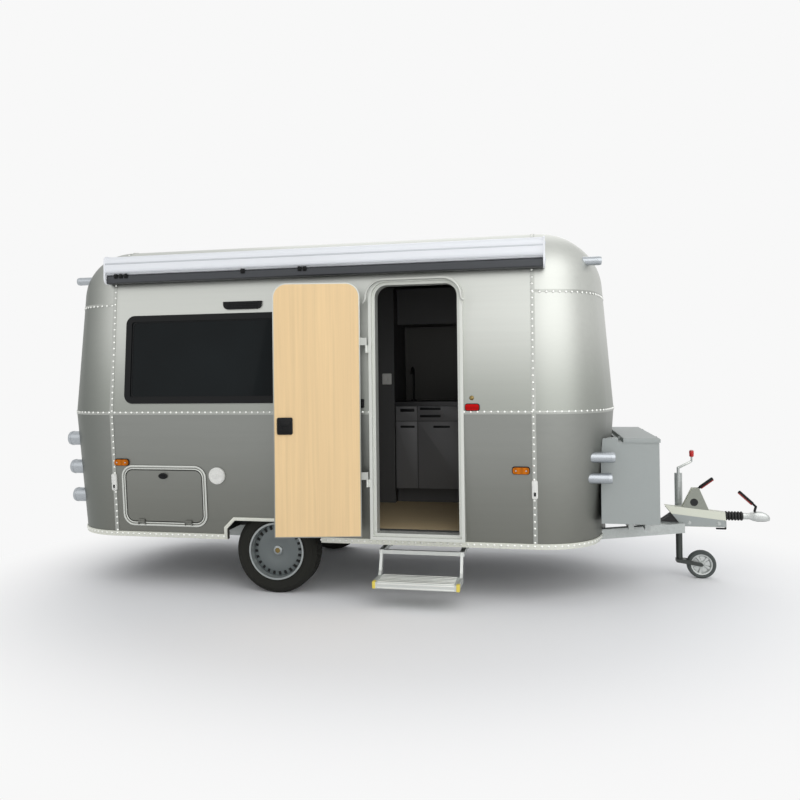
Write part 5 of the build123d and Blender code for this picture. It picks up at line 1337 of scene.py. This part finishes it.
class TRAILER_OT_stage(Operator):
    """Set the floor, the soft studio light and the photograph's camera"""
    bl_idname = "trailer.stage"
    bl_label = "Stage"

    def execute(self, context):
        scene = context.scene
        pale = colour("#F8F8F8")
        bm = bmesh.new()
        bmesh.ops.create_grid(bm, x_segments=1, y_segments=1, size=60.0)
        mesh = bpy.data.meshes.new("studio_floor")
        bm.to_mesh(mesh)
        bm.free()
        floor = new_object("studio_floor", mesh)
        material, tree, shader, place = new_material("pale_studio_floor")
        fill(tree, shader, {"Base Color": pale, "Roughness": 0.9, "Specular IOR Level": 0.1})
        # Far out the floor turns into the backdrop, so that no horizon shows
        away = add(tree, "ShaderNodeVectorMath", {0: place["Object"]}, operation="LENGTH")
        far = add(tree, "ShaderNodeMapRange", {"Value": away.outputs["Value"], "From Min": 2.2,
                                               "From Max": 3.9}, interpolation_type="SMOOTHSTEP")
        blend = add(tree, "ShaderNodeMath", {0: seen_rays(tree), 1: far.outputs["Result"]},
                    operation="MULTIPLY")
        glow = add(tree, "ShaderNodeEmission", {"Color": pale, "Strength": 1.0})
        mix = add(tree, "ShaderNodeMixShader", {0: blend.outputs["Value"],
                                                1: tree.nodes["Principled BSDF"].outputs[0],
                                                2: glow.outputs["Emission"]})
        fill(tree, tree.nodes["Material Output"].inputs, {"Surface": mix.outputs["Shader"]})
        mesh.materials.append(material)

        world = bpy.data.worlds.new("studio")
        scene.world = world
        world.use_nodes = True
        tree = world.node_tree
        backdrop = add(tree, "ShaderNodeBackground", {"Color": pale, "Strength": 1.0})
        light = add(tree, "ShaderNodeBackground", {"Color": colour("#F4F6FA"), "Strength": 0.62})
        mix = add(tree, "ShaderNodeMixShader", {0: seen_rays(tree), 1: light.outputs["Background"],
                                                2: backdrop.outputs["Background"]})
        fill(tree, tree.nodes["World Output"].inputs, {"Surface": mix.outputs["Shader"]})

        # Softboxes: place, point aimed at, size, watts
        boxes = (((6.5, -8.6, 6.5), (0.5, 0.0, 1.1), 14.0, 800.0),
                 ((-6.0, -7.0, 5.0), (0.0, 0.0, 1.0), 6.0, 50.0),
                 ((0.0, 6.0, 8.0), (0.0, 0.0, 1.0), 8.0, 140.0))
        for index, (spot, aim, size, watts) in enumerate(boxes):
            lamp = bpy.data.lights.new(f"softbox_{index}", "AREA")
            lamp.size, lamp.energy = size, watts
            obj = new_object(lamp.name, lamp)
            obj.location = spot
            aimed = Vector(aim) - Vector(spot)
            obj.rotation_euler = aimed.to_track_quat("-Z", "Y").to_euler()

        data = bpy.data.cameras.new("photo_camera")
        data.lens, data.sensor_width = CAMERA_LENS, CAMERA_SENSOR
        data.shift_x, data.shift_y = CAMERA_SHIFT
        camera = new_object("photo_camera", data)
        turn = (Matrix.Rotation(math.radians(CAMERA_YAW), 4, "Z")
                @ Matrix.Rotation(math.radians(90 + CAMERA_PITCH), 4, "X")
                @ Matrix.Rotation(math.radians(CAMERA_ROLL), 4, "Z"))
        camera.matrix_world = Matrix.Translation(CAMERA_PLACE) @ turn
        scene.camera = camera
        scene.view_settings.view_transform = "Standard"
        return {"FINISHED"}


OPERATORS = (TRAILER_OT_skin, TRAILER_OT_strips, TRAILER_OT_rivets, TRAILER_OT_wheels,
             TRAILER_OT_door, TRAILER_OT_windows, TRAILER_OT_locker, TRAILER_OT_lamps,
             TRAILER_OT_awning, TRAILER_OT_step, TRAILER_OT_box, TRAILER_OT_hitch,
             TRAILER_OT_jockey, TRAILER_OT_cabin, TRAILER_OT_stage)


class TRAILER_PT_looks(Panel):
    """Lists the steps that dress the trailer"""
    bl_idname = "TRAILER_PT_looks"
    bl_label = "Travel trailer"
    bl_space_type = "VIEW_3D"
    bl_region_type = "UI"
    bl_category = "Trailer"

    def draw(self, context):
        for group in (context.scene.trailer_sizes, context.scene.trailer_colours):
            column = self.layout.column()
            for name in group.__annotations__:
                column.prop(group, name)
        for operator in OPERATORS:
            self.layout.operator(operator.bl_idname)


CLASSES = (TrailerSizes, TrailerColours, *OPERATORS, TRAILER_PT_looks)


def register():
    for cls in CLASSES:
        bpy.utils.register_class(cls)
    bpy.types.Scene.trailer_sizes = PointerProperty(type=TrailerSizes)
    bpy.types.Scene.trailer_colours = PointerProperty(type=TrailerColours)


def unregister():
    del bpy.types.Scene.trailer_colours
    del bpy.types.Scene.trailer_sizes
    for cls in reversed(CLASSES):
        bpy.utils.unregister_class(cls)


def main():
    register()
    for operator in OPERATORS:
        group, name = operator.bl_idname.split(".")
        getattr(getattr(bpy.ops, group), name)()


if __name__ == "__main__":
    main()
